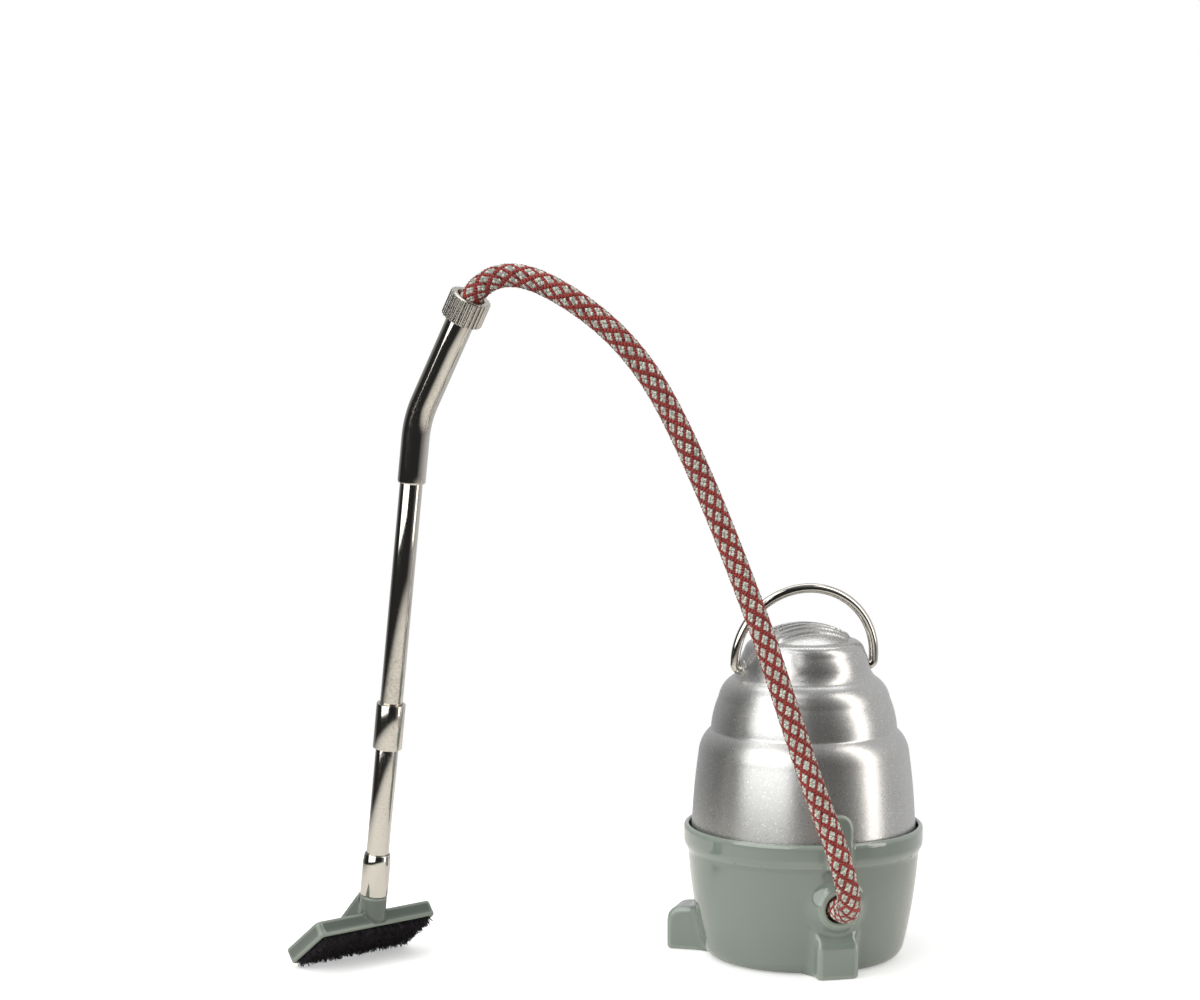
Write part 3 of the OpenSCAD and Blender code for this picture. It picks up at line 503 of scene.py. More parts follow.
# %% [markdown]
# The tub and the brush head are zinc castings under a stoved enamel. Enamel is a smooth glassy paint: it
# pools in the corners and thins on the edges, and dries with a faint orange skin under a clear top layer.
# Its colour is painted darker in the hollows, as pooled paint and painted shade, and paler on the edges,
# as thinned paint and a painted highlight. The castings carry an attribute that says how sharply the
# surface turns, which drives both.

# %% Enamel finishes
PAINT_CLOUD_MM = 9
PAINT_WIPE_MM = 2.6
PAINT_SKIN_MM = 0.7
PAINT_SKIN_DEPTH_MM = 0.012


def enamel_finish(name, deep_hex, full_hex, glaze):
    """Glassy stoved enamel, paler on edges as thin paint and painted highlight, darker in hollows as pooled
    paint and painted shade.
    """
    finish, tree, place = new_finish(name)
    edge = add_node(tree, "ShaderNodeAttribute", attribute_name="edge").outputs["Fac"]
    # Cloudy tone over about a centimetre, as sprayed paint has
    cloud = add_node(tree, "ShaderNodeTexNoise", {
        "Vector": place, "Scale": 1 / (PAINT_CLOUD_MM * MM), "Detail": 3})
    tone = add_node(tree, "ShaderNodeMix", {
        0: cloud, 6: linear(deep_hex), 7: linear(full_hex)}, data_type="RGBA")
    # Painted highlight: convex edges are paler, partly thinned paint and partly a painted highlight
    thin_paint_and_highlight = add_node(tree, "ShaderNodeMapRange", {
        "Value": edge, "From Min": 0.25, "From Max": 1.6, "To Max": 0.5})
    pale = add_node(tree, "ShaderNodeMix", {0: thin_paint_and_highlight, 6: tone, 7: linear("#a4afa3")}, data_type="RGBA")
    # Painted shade: hollows are darker, partly pooled paint and partly painted shade
    pooled_paint_and_shade = add_node(tree, "ShaderNodeMapRange", {
        "Value": edge, "From Min": -0.3, "From Max": -1.8, "To Max": 0.45})
    colour = add_node(tree, "ShaderNodeMix", {0: pooled_paint_and_shade, 6: pale, 7: linear("#4f5951")}, data_type="RGBA")
    wipe = add_node(tree, "ShaderNodeTexNoise", {
        "Vector": place, "Scale": 1 / (PAINT_WIPE_MM * MM), "Detail": 4})
    gloss = add_node(tree, "ShaderNodeMapRange", {"Value": wipe, "To Min": 0.06, "To Max": 0.15})
    # The orange skin is about a hundredth of a millimetre deep
    skin = add_node(tree, "ShaderNodeTexNoise", {
        "Vector": place, "Scale": 1 / (PAINT_SKIN_MM * MM), "Detail": 2})
    bump = add_node(tree, "ShaderNodeBump", {
        "Height": skin, "Distance": PAINT_SKIN_DEPTH_MM * MM, "Strength": 0.4})
    shader = add_node(tree, "ShaderNodeBsdfPrincipled", {
        "Base Color": colour, "Roughness": gloss, "IOR": 1.5, "Coat Weight": glaze, "Coat Roughness": 0.04,
        "Normal": bump})
    add_node(tree, "ShaderNodeOutputMaterial", {"Surface": shader})
    return finish


# Sage green; on the brush head the same enamel is painted darker, as painted shade, and is less glassy
tub_enamel = enamel_finish("enamel_stoved_sage", "#77827a", "#808b82", 0.9)
brush_enamel_painted_shade = enamel_finish("enamel_stoved_sage_painted_shade", "#535c55", "#5c655d", 0.2)
print("enamel finishes:", tub_enamel.name, brush_enamel_painted_shade.name)

# %% [markdown]
# A casting has no sharp inside corner: each foot, lug and boss runs into the wall with a small fillet.
# Booleans with bevels would leave creases there. So the form is written as a distance, negative inside
# the metal, and simple shapes are merged with a smooth minimum, which leaves a fillet wherever two of
# them meet.

# %% Distances
def smooth_min(a, b, blend):
    """Union of two distances with a fillet about as wide as the blend."""
    reach = np.maximum(blend - np.abs(a - b), 0) / blend
    return np.minimum(a, b) - reach * reach * blend / 4


def smooth_max(a, b, blend):
    """Intersection of two distances with a rounded edge."""
    return -smooth_min(-a, -b, blend)


def block(offsets, rounding):
    """Distance to a rounded block, from how far a point lies past each pair of its sides."""
    past = np.stack(offsets, axis=-1) + rounding
    return np.linalg.norm(np.maximum(past, 0), axis=-1) + np.minimum(past.max(axis=-1), 0) - rounding


print("where two planes meet, the fillet stands", -float(smooth_min(0.0, 0.0, 1.0)), "of its blend deep")

# %% [markdown]
# A grid of that distance is then turned to a skin of quads. Each cell that the surface passes through
# gets one point, at the mean of the places where it cuts the cell's edges, and each cut edge joins the
# four cells round it with a quad. The points are then slid onto the exact surface along its slope.

# %% Casting helpers
SLIDES = 4
LEAST_SLOPE = 0.2
EDGE_REACH = 0.3
CAST_CREASE = 70


def casting(distance, low, high, cell):
    """Quads on the surface of a distance, and how sharply the surface turns at each of their points."""
    lines = [np.arange(a, b, cell) for a, b in zip(low, high)]
    grid = np.stack(np.meshgrid(*lines, indexing="ij"), axis=-1)
    value = distance(grid)
    inside = value < 0
    size = np.array(value.shape) - 1
    corners = [(i, j, k) for i in (0, 1) for j in (0, 1) for k in (0, 1)]

    def at(field, c):
        return field[c[0]:c[0] + size[0], c[1]:c[1] + size[1], c[2]:c[2] + size[2]]

    filled = sum(at(inside, c).astype(int) for c in corners)
    used = (filled > 0) & (filled < len(corners))
    number = np.full(size, -1)
    number[used] = np.arange(used.sum())
    total = np.zeros((used.sum(), 3))
    hits = np.zeros(used.sum())
    for a in corners:
        for axis in range(3):
            if a[axis]:
                continue
            b = tuple(1 if i == axis else a[i] for i in range(3))
            va, vb = at(value, a)[used], at(value, b)[used]
            cut = (va < 0) != (vb < 0)
            share = np.where(cut, va / np.where(cut, va - vb, 1), 0)
            spot = at(grid, a)[used]
            spot[:, axis] += share * cell
            total += spot * cut[:, None]
            hits += cut
    points = total / hits[:, None]
    step = cell / 4
    for _ in range(SLIDES):
        rises = [distance(points + step * e) - distance(points - step * e) for e in np.eye(3)]
        slope = np.stack(rises, axis=-1) / (2 * step)
        steepness = np.maximum((slope * slope).sum(axis=-1), LEAST_SLOPE)
        points = points - (distance(points) / steepness)[:, None] * slope
    faces = []
    for axis in range(3):
        du, dv = np.roll(np.eye(3, dtype=int), -axis - 1, axis=0)[:2]
        flips = inside != np.roll(inside, -1, axis)
        flips[tuple(slice(-1, None) if i == axis else slice(None) for i in range(3))] = False
        edge = np.argwhere(flips)
        outward = inside[tuple(edge.T)]
        quad = np.stack([number[tuple((edge - s).T)] for s in (du + dv, dv, 0 * du, du)], axis=-1)
        quad[~outward] = quad[~outward, ::-1]
        faces.append(quad)
    around = [distance(points + EDGE_REACH * s * e) for e in np.eye(3) for s in (-1, 1)]
    return points, np.concatenate(faces).tolist(), sum(around) / EDGE_REACH ** 2


def cast_mesh(name, skin, place):
    """Mesh of a casting in its place, with its edge attribute."""
    points, faces, turn = skin
    mesh = to_mesh(name, points, faces, place, CAST_CREASE)
    mesh.attributes.new("edge", "FLOAT", "POINT").data.foreach_set("value", turn.astype(np.float32))
    return mesh


print("points are slid", SLIDES, "times, and corners past", CAST_CREASE, "degrees stay sharp")

# %% [markdown]
# The tub is one casting: a bowed wall with a rolled bead at its rim, a ledge inside it that the cover
# stands on, three feet, the boss that the hose goes into, and a round topped finger that hides the
# cover's seam in front. Its sizes are in one table and the radii of its rounds and fillets in another.

# %% Tub sizes
WALL_MID = (-66.23, 22.12)
WALL_R = 84.57
TUB = {"wall": 1.1, "floor": 1.2, "height": 21.1, "bead_z": 17.2, "bead_r": 18.8, "rim_r": 18.05,
       "seat_z": 17.6, "seat_r": 16.7, "ledge": 0.9, "neck_mid": 18, "neck_half": 3,
       "finger_w": 4.2, "finger_top": 25.7, "finger_r": 19.1, "finger_root": 10,
       "boss_z": 11.1, "boss_wall": 17.62, "boss_face": 18.92, "boss_l": 1.3, "boss_base_r": 3.8,
       "boss_face_r": 3.1, "boss_root": 12, "hole_r": 2.2, "hole_root": 8,
       "foot_w": 6.6, "foot_h": 7.2, "foot_slope": 0.4, "foot_root": 8}
TUB_ROUND = {"base": 2.2, "bead": 1.3, "bead_root": 0.8, "rim": 0.6, "finger": 0.5, "finger_root": 0.5,
             "foot_nose": 2.4, "foot_side": 0.8, "foot_sole": 0.6, "foot_back": 0.2, "foot_root": 1.5,
             "boss": 0.55, "boss_root": 1.4, "floor": 1.5, "ledge": 0.4, "mouth": 0.35, "hole": 0.4}
# Each foot's way round from the front, and how far it reaches from the axis
FEET = ((0, 18.5), (120, 21.5), (-120, 21.5))
print("tub of", len(TUB), "sizes and", len(TUB_ROUND), "rounds")

# %% [markdown]
# The form is then put together as it would be carved: the wall and bead first, then what stands on them,
# then what is hollowed out. Hollowing last keeps the mouth and the hole crisp.

# %% Tub
def foot_distance(x, y, z, reach):
    """A block foot that slopes down outwards along -Y."""
    root = TUB["foot_root"]
    top = z - TUB["foot_h"] + TUB["foot_slope"] * np.clip((-y - root) / (reach - root), 0, 1.2)
    foot = smooth_max(-y - reach, top, TUB_ROUND["foot_nose"])
    foot = smooth_max(foot, np.abs(x) - TUB["foot_w"] / 2, TUB_ROUND["foot_side"])
    foot = smooth_max(foot, -z, TUB_ROUND["foot_sole"])
    return smooth_max(foot, y + root, TUB_ROUND["foot_back"])


def tub_distance(p):
    """Distance to the tub, its front along -Y."""
    x, y, z = p[..., 0], p[..., 1], p[..., 2]
    r = np.hypot(x, y)
    wall = np.hypot(r - WALL_MID[0], z - WALL_MID[1])
    body = smooth_max(wall - WALL_R, -z, TUB_ROUND["base"])
    bead = block((r - TUB["bead_r"], TUB["bead_z"] - z), TUB_ROUND["bead"])
    body = smooth_min(body, bead, TUB_ROUND["bead_root"])
    body = smooth_max(body, z - TUB["height"], TUB_ROUND["rim"])
    finger_mid = TUB["finger_top"] - TUB["finger_w"] / 2
    arch = np.where(z > finger_mid, np.hypot(x, z - finger_mid), np.abs(x)) - TUB["finger_w"] / 2
    finger_sides = (arch, r - TUB["finger_r"], TUB["bead_z"] - z, y + TUB["finger_root"])
    body = smooth_min(body, block(finger_sides, TUB_ROUND["finger"]), TUB_ROUND["finger_root"])
    for angle, reach in FEET:
        c, s = math.cos(math.radians(angle)), math.sin(math.radians(angle))
        foot = foot_distance(c * x + s * y, c * y - s * x, z, reach)
        body = smooth_min(body, foot, TUB_ROUND["foot_root"])
    from_axis = np.hypot(x, z - TUB["boss_z"])
    out = np.clip((-y - TUB["boss_wall"]) / TUB["boss_l"], -0.5, 1)
    cone = TUB["boss_base_r"] - (TUB["boss_base_r"] - TUB["boss_face_r"]) * out
    boss_sides = (from_axis - cone, -y - TUB["boss_face"], y + TUB["boss_root"])
    body = smooth_min(body, block(boss_sides, TUB_ROUND["boss"]), TUB_ROUND["boss_root"])
    # Fillets swell where two flat undersides meet, so the base is cut flat after them
    body = np.maximum(body, -z)
    lower = smooth_max(wall - WALL_R + TUB["wall"], TUB["floor"] - z, TUB_ROUND["floor"])
    lower = smooth_max(lower, z - TUB["seat_z"] + TUB["ledge"], TUB_ROUND["ledge"])
    neck = np.maximum(r - TUB["seat_r"], np.abs(z - TUB["neck_mid"]) - TUB["neck_half"])
    mouth = np.maximum(r - TUB["rim_r"], TUB["seat_z"] - z)
    body = smooth_max(body, -np.minimum(np.minimum(lower, neck), mouth), TUB_ROUND["mouth"])
    hole = np.maximum(from_axis - TUB["hole_r"], y + TUB["hole_root"])
    return smooth_max(body, -hole, TUB_ROUND["hole"])


TUB_CELL = 0.3
tub_skin = casting(tub_distance, (-22.4, -22.4, -0.6), (22.4, 22.4, 26.6), TUB_CELL)
new_piece(cast_mesh("tub", tub_skin, CANISTER), tub_enamel, "canister", "sage_enamel", "base_tub")

# %% [markdown]
# The cover is a thin cast shell under aluminium paint. Fine flakes in the paint give a satin metal
# that is bright where it faces the light and grey where it turns away, with a faint sparkle: the flakes'
# bump tilts the light, and a few flakes are painted brighter as a painted glint. Real flakes are some
# hundredths of a millimetre wide, too fine to show, so they are drawn at about a fifth of a millimetre.

# %% Aluminium paint
FLAKE_MM = 0.18
FLAKE_DEPTH_MM = 0.002
SILVER_CLOUD_MM = 7
silver, silver_tree, silver_place = new_finish("aluminium_paint_sprayed")
silver_flake = add_node(silver_tree, "ShaderNodeTexVoronoi", {
    "Vector": silver_place, "Scale": 1 / (FLAKE_MM * MM)})
silver_grain = add_node(silver_tree, "ShaderNodeSeparateColor", {0: silver_flake.outputs["Color"]}).outputs
silver_cloud = add_node(silver_tree, "ShaderNodeTexNoise", {
    "Vector": silver_place, "Scale": 1 / (SILVER_CLOUD_MM * MM), "Detail": 4})
silver_tone = add_node(silver_tree, "ShaderNodeMix", {
    0: silver_cloud, 6: linear("#bebebc"), 7: linear("#cdcdcb")}, data_type="RGBA")
# One flake in twelve is painted brighter, a painted glint where a flake lies flat enough to flash
silver_painted_glint = add_node(silver_tree, "ShaderNodeMapRange", {"Value": silver_grain[0], "From Min": 0.92})
silver_colour = add_node(silver_tree, "ShaderNodeMix", {
    0: silver_painted_glint, 6: silver_tone, 7: linear("#e6e6e4")}, data_type="RGBA")
silver_gloss = add_node(silver_tree, "ShaderNodeMapRange", {
    "Value": silver_grain[1], "To Min": 0.27, "To Max": 0.32})
silver_bump = add_node(silver_tree, "ShaderNodeBump", {
    "Height": silver_grain[2], "Distance": FLAKE_DEPTH_MM * MM, "Strength": 0.3})
silver_shader = add_node(silver_tree, "ShaderNodeBsdfPrincipled", {
    "Base Color": silver_colour, "Metallic": 0.85, "Roughness": silver_gloss, "Normal": silver_bump})
add_node(silver_tree, "ShaderNodeOutputMaterial", {"Surface": silver_shader})
print("aluminium paint nodes:", len(silver_tree.nodes))

# %% [markdown]
# The cover is round, in three tiers, so its outline is a chain of shallow arcs that is spun about its
# axis. The mould and the paint soften every corner, and a short running average along the outline does
# the same. The inside follows the outside at the wall's thickness, with fewer points, because it shows
# only when the cover is lifted off.

# %% Cover outline
# Each corner of the outline as (radius, height), and how far the arc after it bows outwards
COVER_CHAIN = [
    ((17.75, 17.65), 0.22), ((16.6, 32.25), 0.45), ((14.65, 36.15), 0.22), ((13.5, 41.05), 0.45),
    ((11.2, 44.35), -0.15), ((10.2, 46.25), 0.11), ((9.5, 48.45), 0.45), ((7.6, 50.25), 0.6),
    ((0, 52.55), 0)]
COVER_WALL = 0.9
SOFTEN_POINTS = 9
AXIS_GAP = 0.05
INSIDE_EVERY = 4


def bowed(start, end, bow, step=0.08):
    """Points of a shallow arc that stands off its chord to the right of its way."""
    start, end = np.array(start), np.array(end)
    chord = end - start
    share = np.linspace(0, 1, max(2, int(np.linalg.norm(chord) / step)), endpoint=False)[:, None]
    side = np.array((chord[1], -chord[0])) / np.linalg.norm(chord)
    return start + chord * share + side * bow * 4 * share * (1 - share)


def softened(line, width):
    """A running average along a line, with its ends kept."""
    kernel = np.hanning(width + 2)[1:-1]
    kernel /= kernel.sum()
    before = 2 * line[0] - line[width // 2:0:-1]
    after = 2 * line[-1] - line[-2:-width // 2 - 2:-1]
    padded = np.concatenate([before, line, after])
    smooth = [np.convolve(padded[:, i], kernel, mode="valid") for i in (0, 1)]
    return np.stack(smooth, axis=-1)[:len(line)]


arcs = [bowed(a, b, bow) for (a, bow), (b, _) in zip(COVER_CHAIN, COVER_CHAIN[1:])]
outline = softened(np.concatenate(arcs + [[COVER_CHAIN[-1][0]]]), SOFTEN_POINTS)
outline = outline[outline[:, 0] > AXIS_GAP]
inner = outline[::-INSIDE_EVERY] - COVER_WALL
inner = inner[(inner[:, 0] > AXIS_GAP) & (inner[:, 1] > outline[0, 1])]
inner = np.concatenate([inner, [outline[0] - (COVER_WALL, 0)]])
print("cover outline of", len(outline), "points, inside of", len(inner))

# %% [markdown]
# Six low ribs cross the crown from side to side. They are raised from the same skin, because on the real
# shell they are cast with it, not stuck on. Every ring of the outline is kept on the crown, where the
# ribs need them, and every second one below. Two short tubes inside the top tier hold the ends of the
# bail.

# %% Cover skin
COVER_SIDES = 224
CROWN_ROWS = 60
RIBS = {"count": 6, "pitch": 1.7, "width": 0.85, "height": 0.35, "flank": 0.24, "patch_r": 7.2, "fade": 0.3}
PIVOT_Z = 45.75
BEARING = {"inner_end": 8.31, "outer_end": 10.2, "r": 1.6, "bore": 0.8, "sides": 32}


def cover_skin():
    """The cover's outside with raised crown ribs, its foot and its inside, as one closed skin."""
    rows = np.concatenate([outline[:-CROWN_ROWS:2], outline[-CROWN_ROWS:], inner])
    top = len(rows) - len(inner) - 1
    points, faces = spin(rows, COVER_SIDES)
    # The outside and the inside each close at the crown
    crown = np.arange(COVER_SIDES) + top * COVER_SIDES
    caps = [tuple(crown.tolist()), tuple((crown + COVER_SIDES).tolist()[::-1])]
    faces[crown[0]:crown[-1] + 1] = caps
    x, y = points[:, 0], points[:, 1]
    last = (RIBS["count"] - 1) / 2
    nearest = np.clip(np.round(y / RIBS["pitch"] - 0.5) + 0.5, -last, last)
    off = np.abs(y - nearest * RIBS["pitch"])
    flank = np.clip((RIBS["width"] / 2 + RIBS["flank"] / 2 - off) / RIBS["flank"], 0, 1)
    fade = np.clip((RIBS["patch_r"] - np.hypot(x, y)) / RIBS["fade"], 0, 1)
    outer = np.arange(len(points)) <= crown[-1]
    points[:, 2] += np.where(outer, RIBS["height"] * flank * flank * (3 - 2 * flank) * fade, 0)
    return points, faces


def bearing_skin(side):
    """The short tube inside the cover in which one end of the bail turns."""
    profile = [("inner_end", "bore"), ("inner_end", "r"), ("outer_end", "r"), ("outer_end", "bore")]
    rings = [((side * BEARING[end], 0, PIVOT_Z), (0, side, 0), (0, 0, 1), BEARING[r]) for end, r in profile]
    return loft(rings, BEARING["sides"], closed=True)


def merged(skins):
    """One skin of several."""
    points, faces = np.zeros((0, 3)), []
    for more_points, more_faces in skins:
        faces += [tuple(i + len(points) for i in face) for face in more_faces]
        points = np.concatenate([points, more_points])
    return points, faces


cover_parts = merged([cover_skin(), bearing_skin(1), bearing_skin(-1)])
new_piece(to_mesh("cover", *cover_parts, CANISTER), silver, "cover", "silver_paint", "dome_cover")

# %% [markdown]
# Nickel plate over brass tube is a mirror, a little warm, with a haze of fine pits and dark specks after
# years of handling. The pits are clusters of dots two or three tenths of a millimetre wide. The knurled
# nut was plated over a rough casting, so the same plate is duller there.

# %% Nickel finishes
PIT_PATCH_MM = 14
PIT_MM = 0.28


def nickel_finish(name, clean_rough, pitted_rough, depth_mm):
    """Nickel plate: bright and a little warm, duller and darker where it is pitted."""
    finish, tree, place = new_finish(name)
    patch = add_node(tree, "ShaderNodeTexNoise", {
        "Vector": place, "Scale": 1 / (PIT_PATCH_MM * MM), "Detail": 2})
    speck = add_node(tree, "ShaderNodeTexNoise", {"Vector": place, "Scale": 1 / (PIT_MM * MM), "Detail": 3})
    pitted = add_node(tree, "ShaderNodeMath", {0: patch, 1: speck}, operation="MULTIPLY")
    dark = add_node(tree, "ShaderNodeMapRange", {"Value": pitted, "From Min": 0.29, "From Max": 0.55})
    colour = add_node(tree, "ShaderNodeMix", {
        0: dark, 6: linear("#d9d5cc"), 7: linear("#aaa399")}, data_type="RGBA")
    gloss = add_node(tree, "ShaderNodeMapRange", {
        "Value": dark, "To Min": clean_rough, "To Max": pitted_rough})
    bump = add_node(tree, "ShaderNodeBump", {"Height": speck, "Distance": depth_mm * MM, "Strength": 0.4})
    shader = add_node(tree, "ShaderNodeBsdfPrincipled", {
        "Base Color": colour, "Metallic": 1.0, "Roughness": gloss, "Normal": bump})
    add_node(tree, "ShaderNodeOutputMaterial", {"Surface": shader})
    return finish


nickel = nickel_finish("nickel_plate_polished", 0.08, 0.24, 0.003)
rough_nickel = nickel_finish("nickel_plate_on_casting", 0.22, 0.45, 0.03)
print("nickel finishes:", nickel.name, rough_nickel.name)

# %% [markdown]
# The bail is one length of wire: a half circle over the crown, two short legs, and two ends that turn
# inwards into bearings in the cover. It stands leaning a little forward.

# %% Bail
BAIL = {"wire_r": 0.75, "half": 11.363, "reach": 12.9, "bend_r": 0.95, "pin": 2.1, "lean": 8,
        "end_round": 0.15, "sides": 28}


def arc(centre, radius, start, end, count):
    """Points of an arc in the XZ plane, by angles in degrees from +X."""
    turns = np.radians(np.linspace(start, end, count))
    return np.stack([
        centre[0] + radius * np.cos(turns), 0 * turns, centre[1] + radius * np.sin(turns)], axis=-1)


leg = BAIL["reach"] - BAIL["half"]
corner = BAIL["half"] - BAIL["bend_r"]
right_end = np.array([(corner - BAIL["pin"] * s, 0, 0) for s in (1, 0.985, 0.9, 0.5)])
bail_path = np.concatenate([
    right_end, arc((corner, BAIL["bend_r"]), BAIL["bend_r"], -90, 0, 16),
    arc((0, leg), BAIL["half"], 0, 180, 96), arc((-corner, BAIL["bend_r"]), BAIL["bend_r"], 180, 270, 16),
    right_end[::-1] * (-1, 1, 1)])
bail_radii = np.full(len(bail_path), BAIL["wire_r"])
bail_radii[[0, -1]] = BAIL["wire_r"] - BAIL["end_round"]
bail_place = CANISTER @ moved(0, 0, PIVOT_Z) @ turned("X", BAIL["lean"])
bail_skin = loft(carried_rings(bail_path, bail_radii), BAIL["sides"])
new_piece(to_mesh("bail", *bail_skin, bail_place), nickel, "bail", "nickel_plate", "bail_handle")

# %% [markdown]
# The wand is drawn brass tube: two straight tubes that meet inside a short sleeve, and a socket at the
# foot that narrows to the tube. Cut tube ends are broken with a file, so each profile has a small round
# at its lips, which is what catches the light along the rim.

# %% Wand
TUBE_SIDES = 96
BUTT = 30.4


def lipped(profile, lip=0.12):
    """A closed profile with each corner cut to a small two step round."""
    profile = np.array(profile, dtype=float)
    rounded = []
    for before, here, after in zip(np.roll(profile, 1, 0), profile, np.roll(profile, -1, 0)):
        back = (before - here) / np.linalg.norm(before - here)
        ahead = (after - here) / np.linalg.norm(after - here)
        rounded += [here + back * lip, here + (back + ahead) * lip * 0.3, here + ahead * lip]
    return rounded


def tube_profile(outer_r, inner_r, low, high):
    """Closed profile of a plain tube."""
    return [(inner_r, low), (outer_r, low), (outer_r, high), (inner_r, high)]


WAND_PIECES = {
    "lower_tube": ("wand_tube_lower", tube_profile(1.75, 1.35, 7.1, BUTT)),
    "upper_tube": ("wand_tube_upper", tube_profile(1.75, 1.35, BUTT, 74.5)),
    "sleeve": ("wand_sleeve", tube_profile(2.25, 1.77, 26.8, 34.0)),
    "socket": ("wand_socket", [
        (1.55, 3.0), (2.175, 3.0), (2.175, 8.2), (2.0, 9.7), (1.77, 9.7), (1.77, 7.1), (1.55, 7.1)])}
for name, (node, profile) in WAND_PIECES.items():
    wand_mesh = to_mesh(name, *spin(lipped(profile), TUBE_SIDES), WAND)
    new_piece(wand_mesh, nickel, "canister", "nickel_plate", node)

# %% [markdown]
# The handle is a wider tube that slides over the wand's top and bends back towards the canister. It is a
# sweep along a straight, an arc and a straight, out on the outer wall and back on the bore.

# %% Handle
HANDLE_R = 2.15
HANDLE_BORE = 1.78
# The lips draw in over the first and the last few tenths of a millimetre
HANDLE_FOOT = (-6.9, -6.8, -6.6, -4, -2)
HANDLE_REACH = (2, 6, 10, 15.1, 15.3, 15.4)
HANDLE_LIP = (0.12, 0.03)
turns = np.radians(np.linspace(0, HANDLE_BEND, 40))
bend_path = np.stack([
    0 * turns, -HANDLE_BEND_R * (1 - np.cos(turns)), HANDLE_BEND_R * np.sin(turns)], axis=-1)
way = np.array((0, -math.sin(math.radians(HANDLE_BEND)), math.cos(math.radians(HANDLE_BEND))))
handle_path = np.concatenate([
    [(0, 0, z) for z in HANDLE_FOOT], bend_path, [bend_path[-1] + way * s for s in HANDLE_REACH]])
outer_radii = np.full(len(handle_path), HANDLE_R)
outer_radii[[0, -1]] = HANDLE_R - HANDLE_LIP[0]
outer_radii[[1, -2]] = HANDLE_R - HANDLE_LIP[1]
handle_rings = carried_rings(handle_path, outer_radii)
bore_rings = [(centre, across, up, HANDLE_BORE) for centre, across, up, _ in handle_rings[::-1]]
handle_skin = loft(handle_rings + bore_rings, TUBE_SIDES, closed=True)
new_piece(to_mesh("handle", *handle_skin, BEND), nickel, "canister", "nickel_plate", "handle_tube")

# %% [markdown]
# The coupling nut is a small casting, with coarse straight knurling for the fingers. The knurl is one rib
# copied round a circle, so Geometry Nodes make it.

# %% Knurl tree
def knurl_tree():
    """Ribs round a circle, each a flattened rod with closed ends."""
    tree, given = new_tree("nut_knurl", {
        "Count": "Int", "Radius": "Float", "Length": "Float", "Width": "Float", "Depth": "Float"})
    ring = add_node(tree, "GeometryNodeMeshCircle", {"Vertices": given["Count"], "Radius": given["Radius"]})
    top = add_node(tree, "ShaderNodeCombineXYZ", {"Z": given["Length"]})
    rod = add_node(tree, "GeometryNodeCurvePrimitiveLine", {"End": top})
    disc = add_node(tree, "GeometryNodeCurvePrimitiveCircle", {"Resolution": 12, "Radius": 0.5})
    shape = add_node(tree, "ShaderNodeCombineXYZ", {"X": given["Depth"], "Y": given["Width"], "Z": 1})
    section = add_node(tree, "GeometryNodeTransform", {"Geometry": disc, "Scale": shape})
    rib = add_node(tree, "GeometryNodeCurveToMesh", {
        "Curve": rod, "Profile Curve": section, "Fill Caps": True})
    place = add_node(tree, "GeometryNodeInputPosition")
    heading = add_node(tree, "FunctionNodeAlignRotationToVector", {
        "Vector": place}, axis="X", pivot_axis="Z")
    copies = add_node(tree, "GeometryNodeInstanceOnPoints", {
        "Points": ring, "Instance": rib, "Rotation": heading})
    real = add_node(tree, "GeometryNodeRealizeInstances", {0: copies})
    done = add_node(tree, "GeometryNodeSetMaterial", {"Geometry": real, "Material": rough_nickel})
    add_node(tree, "NodeGroupOutput", {0: done})
    return tree


NUT = {"bore": 2.2, "r": 3.2, "low": 14.5, "high": 18.6, "deep": 0.35, "taper": 0.04, "chamfer": 0.3,
       "sides": 144, "rib_w": 0.66, "rib_sink": 0.05, "rib_gap": 0.15}
KNURLS = 24
root_r = NUT["r"] - NUT["deep"]
knurl = run_tree(knurl_tree(), bpy.data.meshes.new("no_source"), {
    "Count": KNURLS, "Radius": (root_r - NUT["rib_sink"]) * MM, "Width": NUT["rib_w"] * MM,
    "Length": (NUT["high"] - NUT["low"] - 2 * NUT["rib_gap"]) * MM,
    "Depth": 2 * (NUT["deep"] + NUT["rib_sink"]) * MM})
print("knurl of", KNURLS, "ribs,", len(knurl.polygons), "faces")

# %% [markdown]
# The ribs are sunk a little into a plain spun body, which shows between them as the floor of the knurl,
# and the two are joined to one mesh, because they are one piece of metal.

# %% Nut
def in_metres(place):
    """A place in millimetres, for a mesh that is in metres already."""
    return Matrix.Scale(MM, 4) @ place @ Matrix.Scale(1 / MM, 4)


def joined(name, meshes):
    """One mesh of several, with what they carry."""
    pieces = [bpy.data.objects.new(mesh.name, mesh) for mesh in meshes]
    for piece in pieces:
        bpy.context.collection.objects.link(piece)
    with bpy.context.temp_override(active_object=pieces[0], selected_editable_objects=pieces):
        bpy.ops.object.join()
    mesh = pieces[0].data
    bpy.data.objects.remove(pieces[0])
    mesh.name = name
    mesh.shade_smooth()
    return mesh


knurl.transform(in_metres(HANDLE_TOP @ moved(0, 0, NUT["low"] + NUT["rib_gap"])))
floor_r = root_r + NUT["taper"]
nut_profile = lipped([
    (NUT["bore"], NUT["low"]), (root_r, NUT["low"]), (floor_r, NUT["low"] + NUT["chamfer"]),
    (floor_r, NUT["high"] - NUT["chamfer"]), (root_r, NUT["high"]), (NUT["bore"], NUT["high"])])
nut_body = to_mesh("nut_body", *spin(nut_profile, NUT["sides"]), HANDLE_TOP)
nut_mesh = joined("nut", [nut_body, knurl])
nut_mesh.set_sharp_from_angle(angle=math.radians(CREASE))
new_piece(nut_mesh, rough_nickel, "nut", "nickel_plate", "coupling_nut")

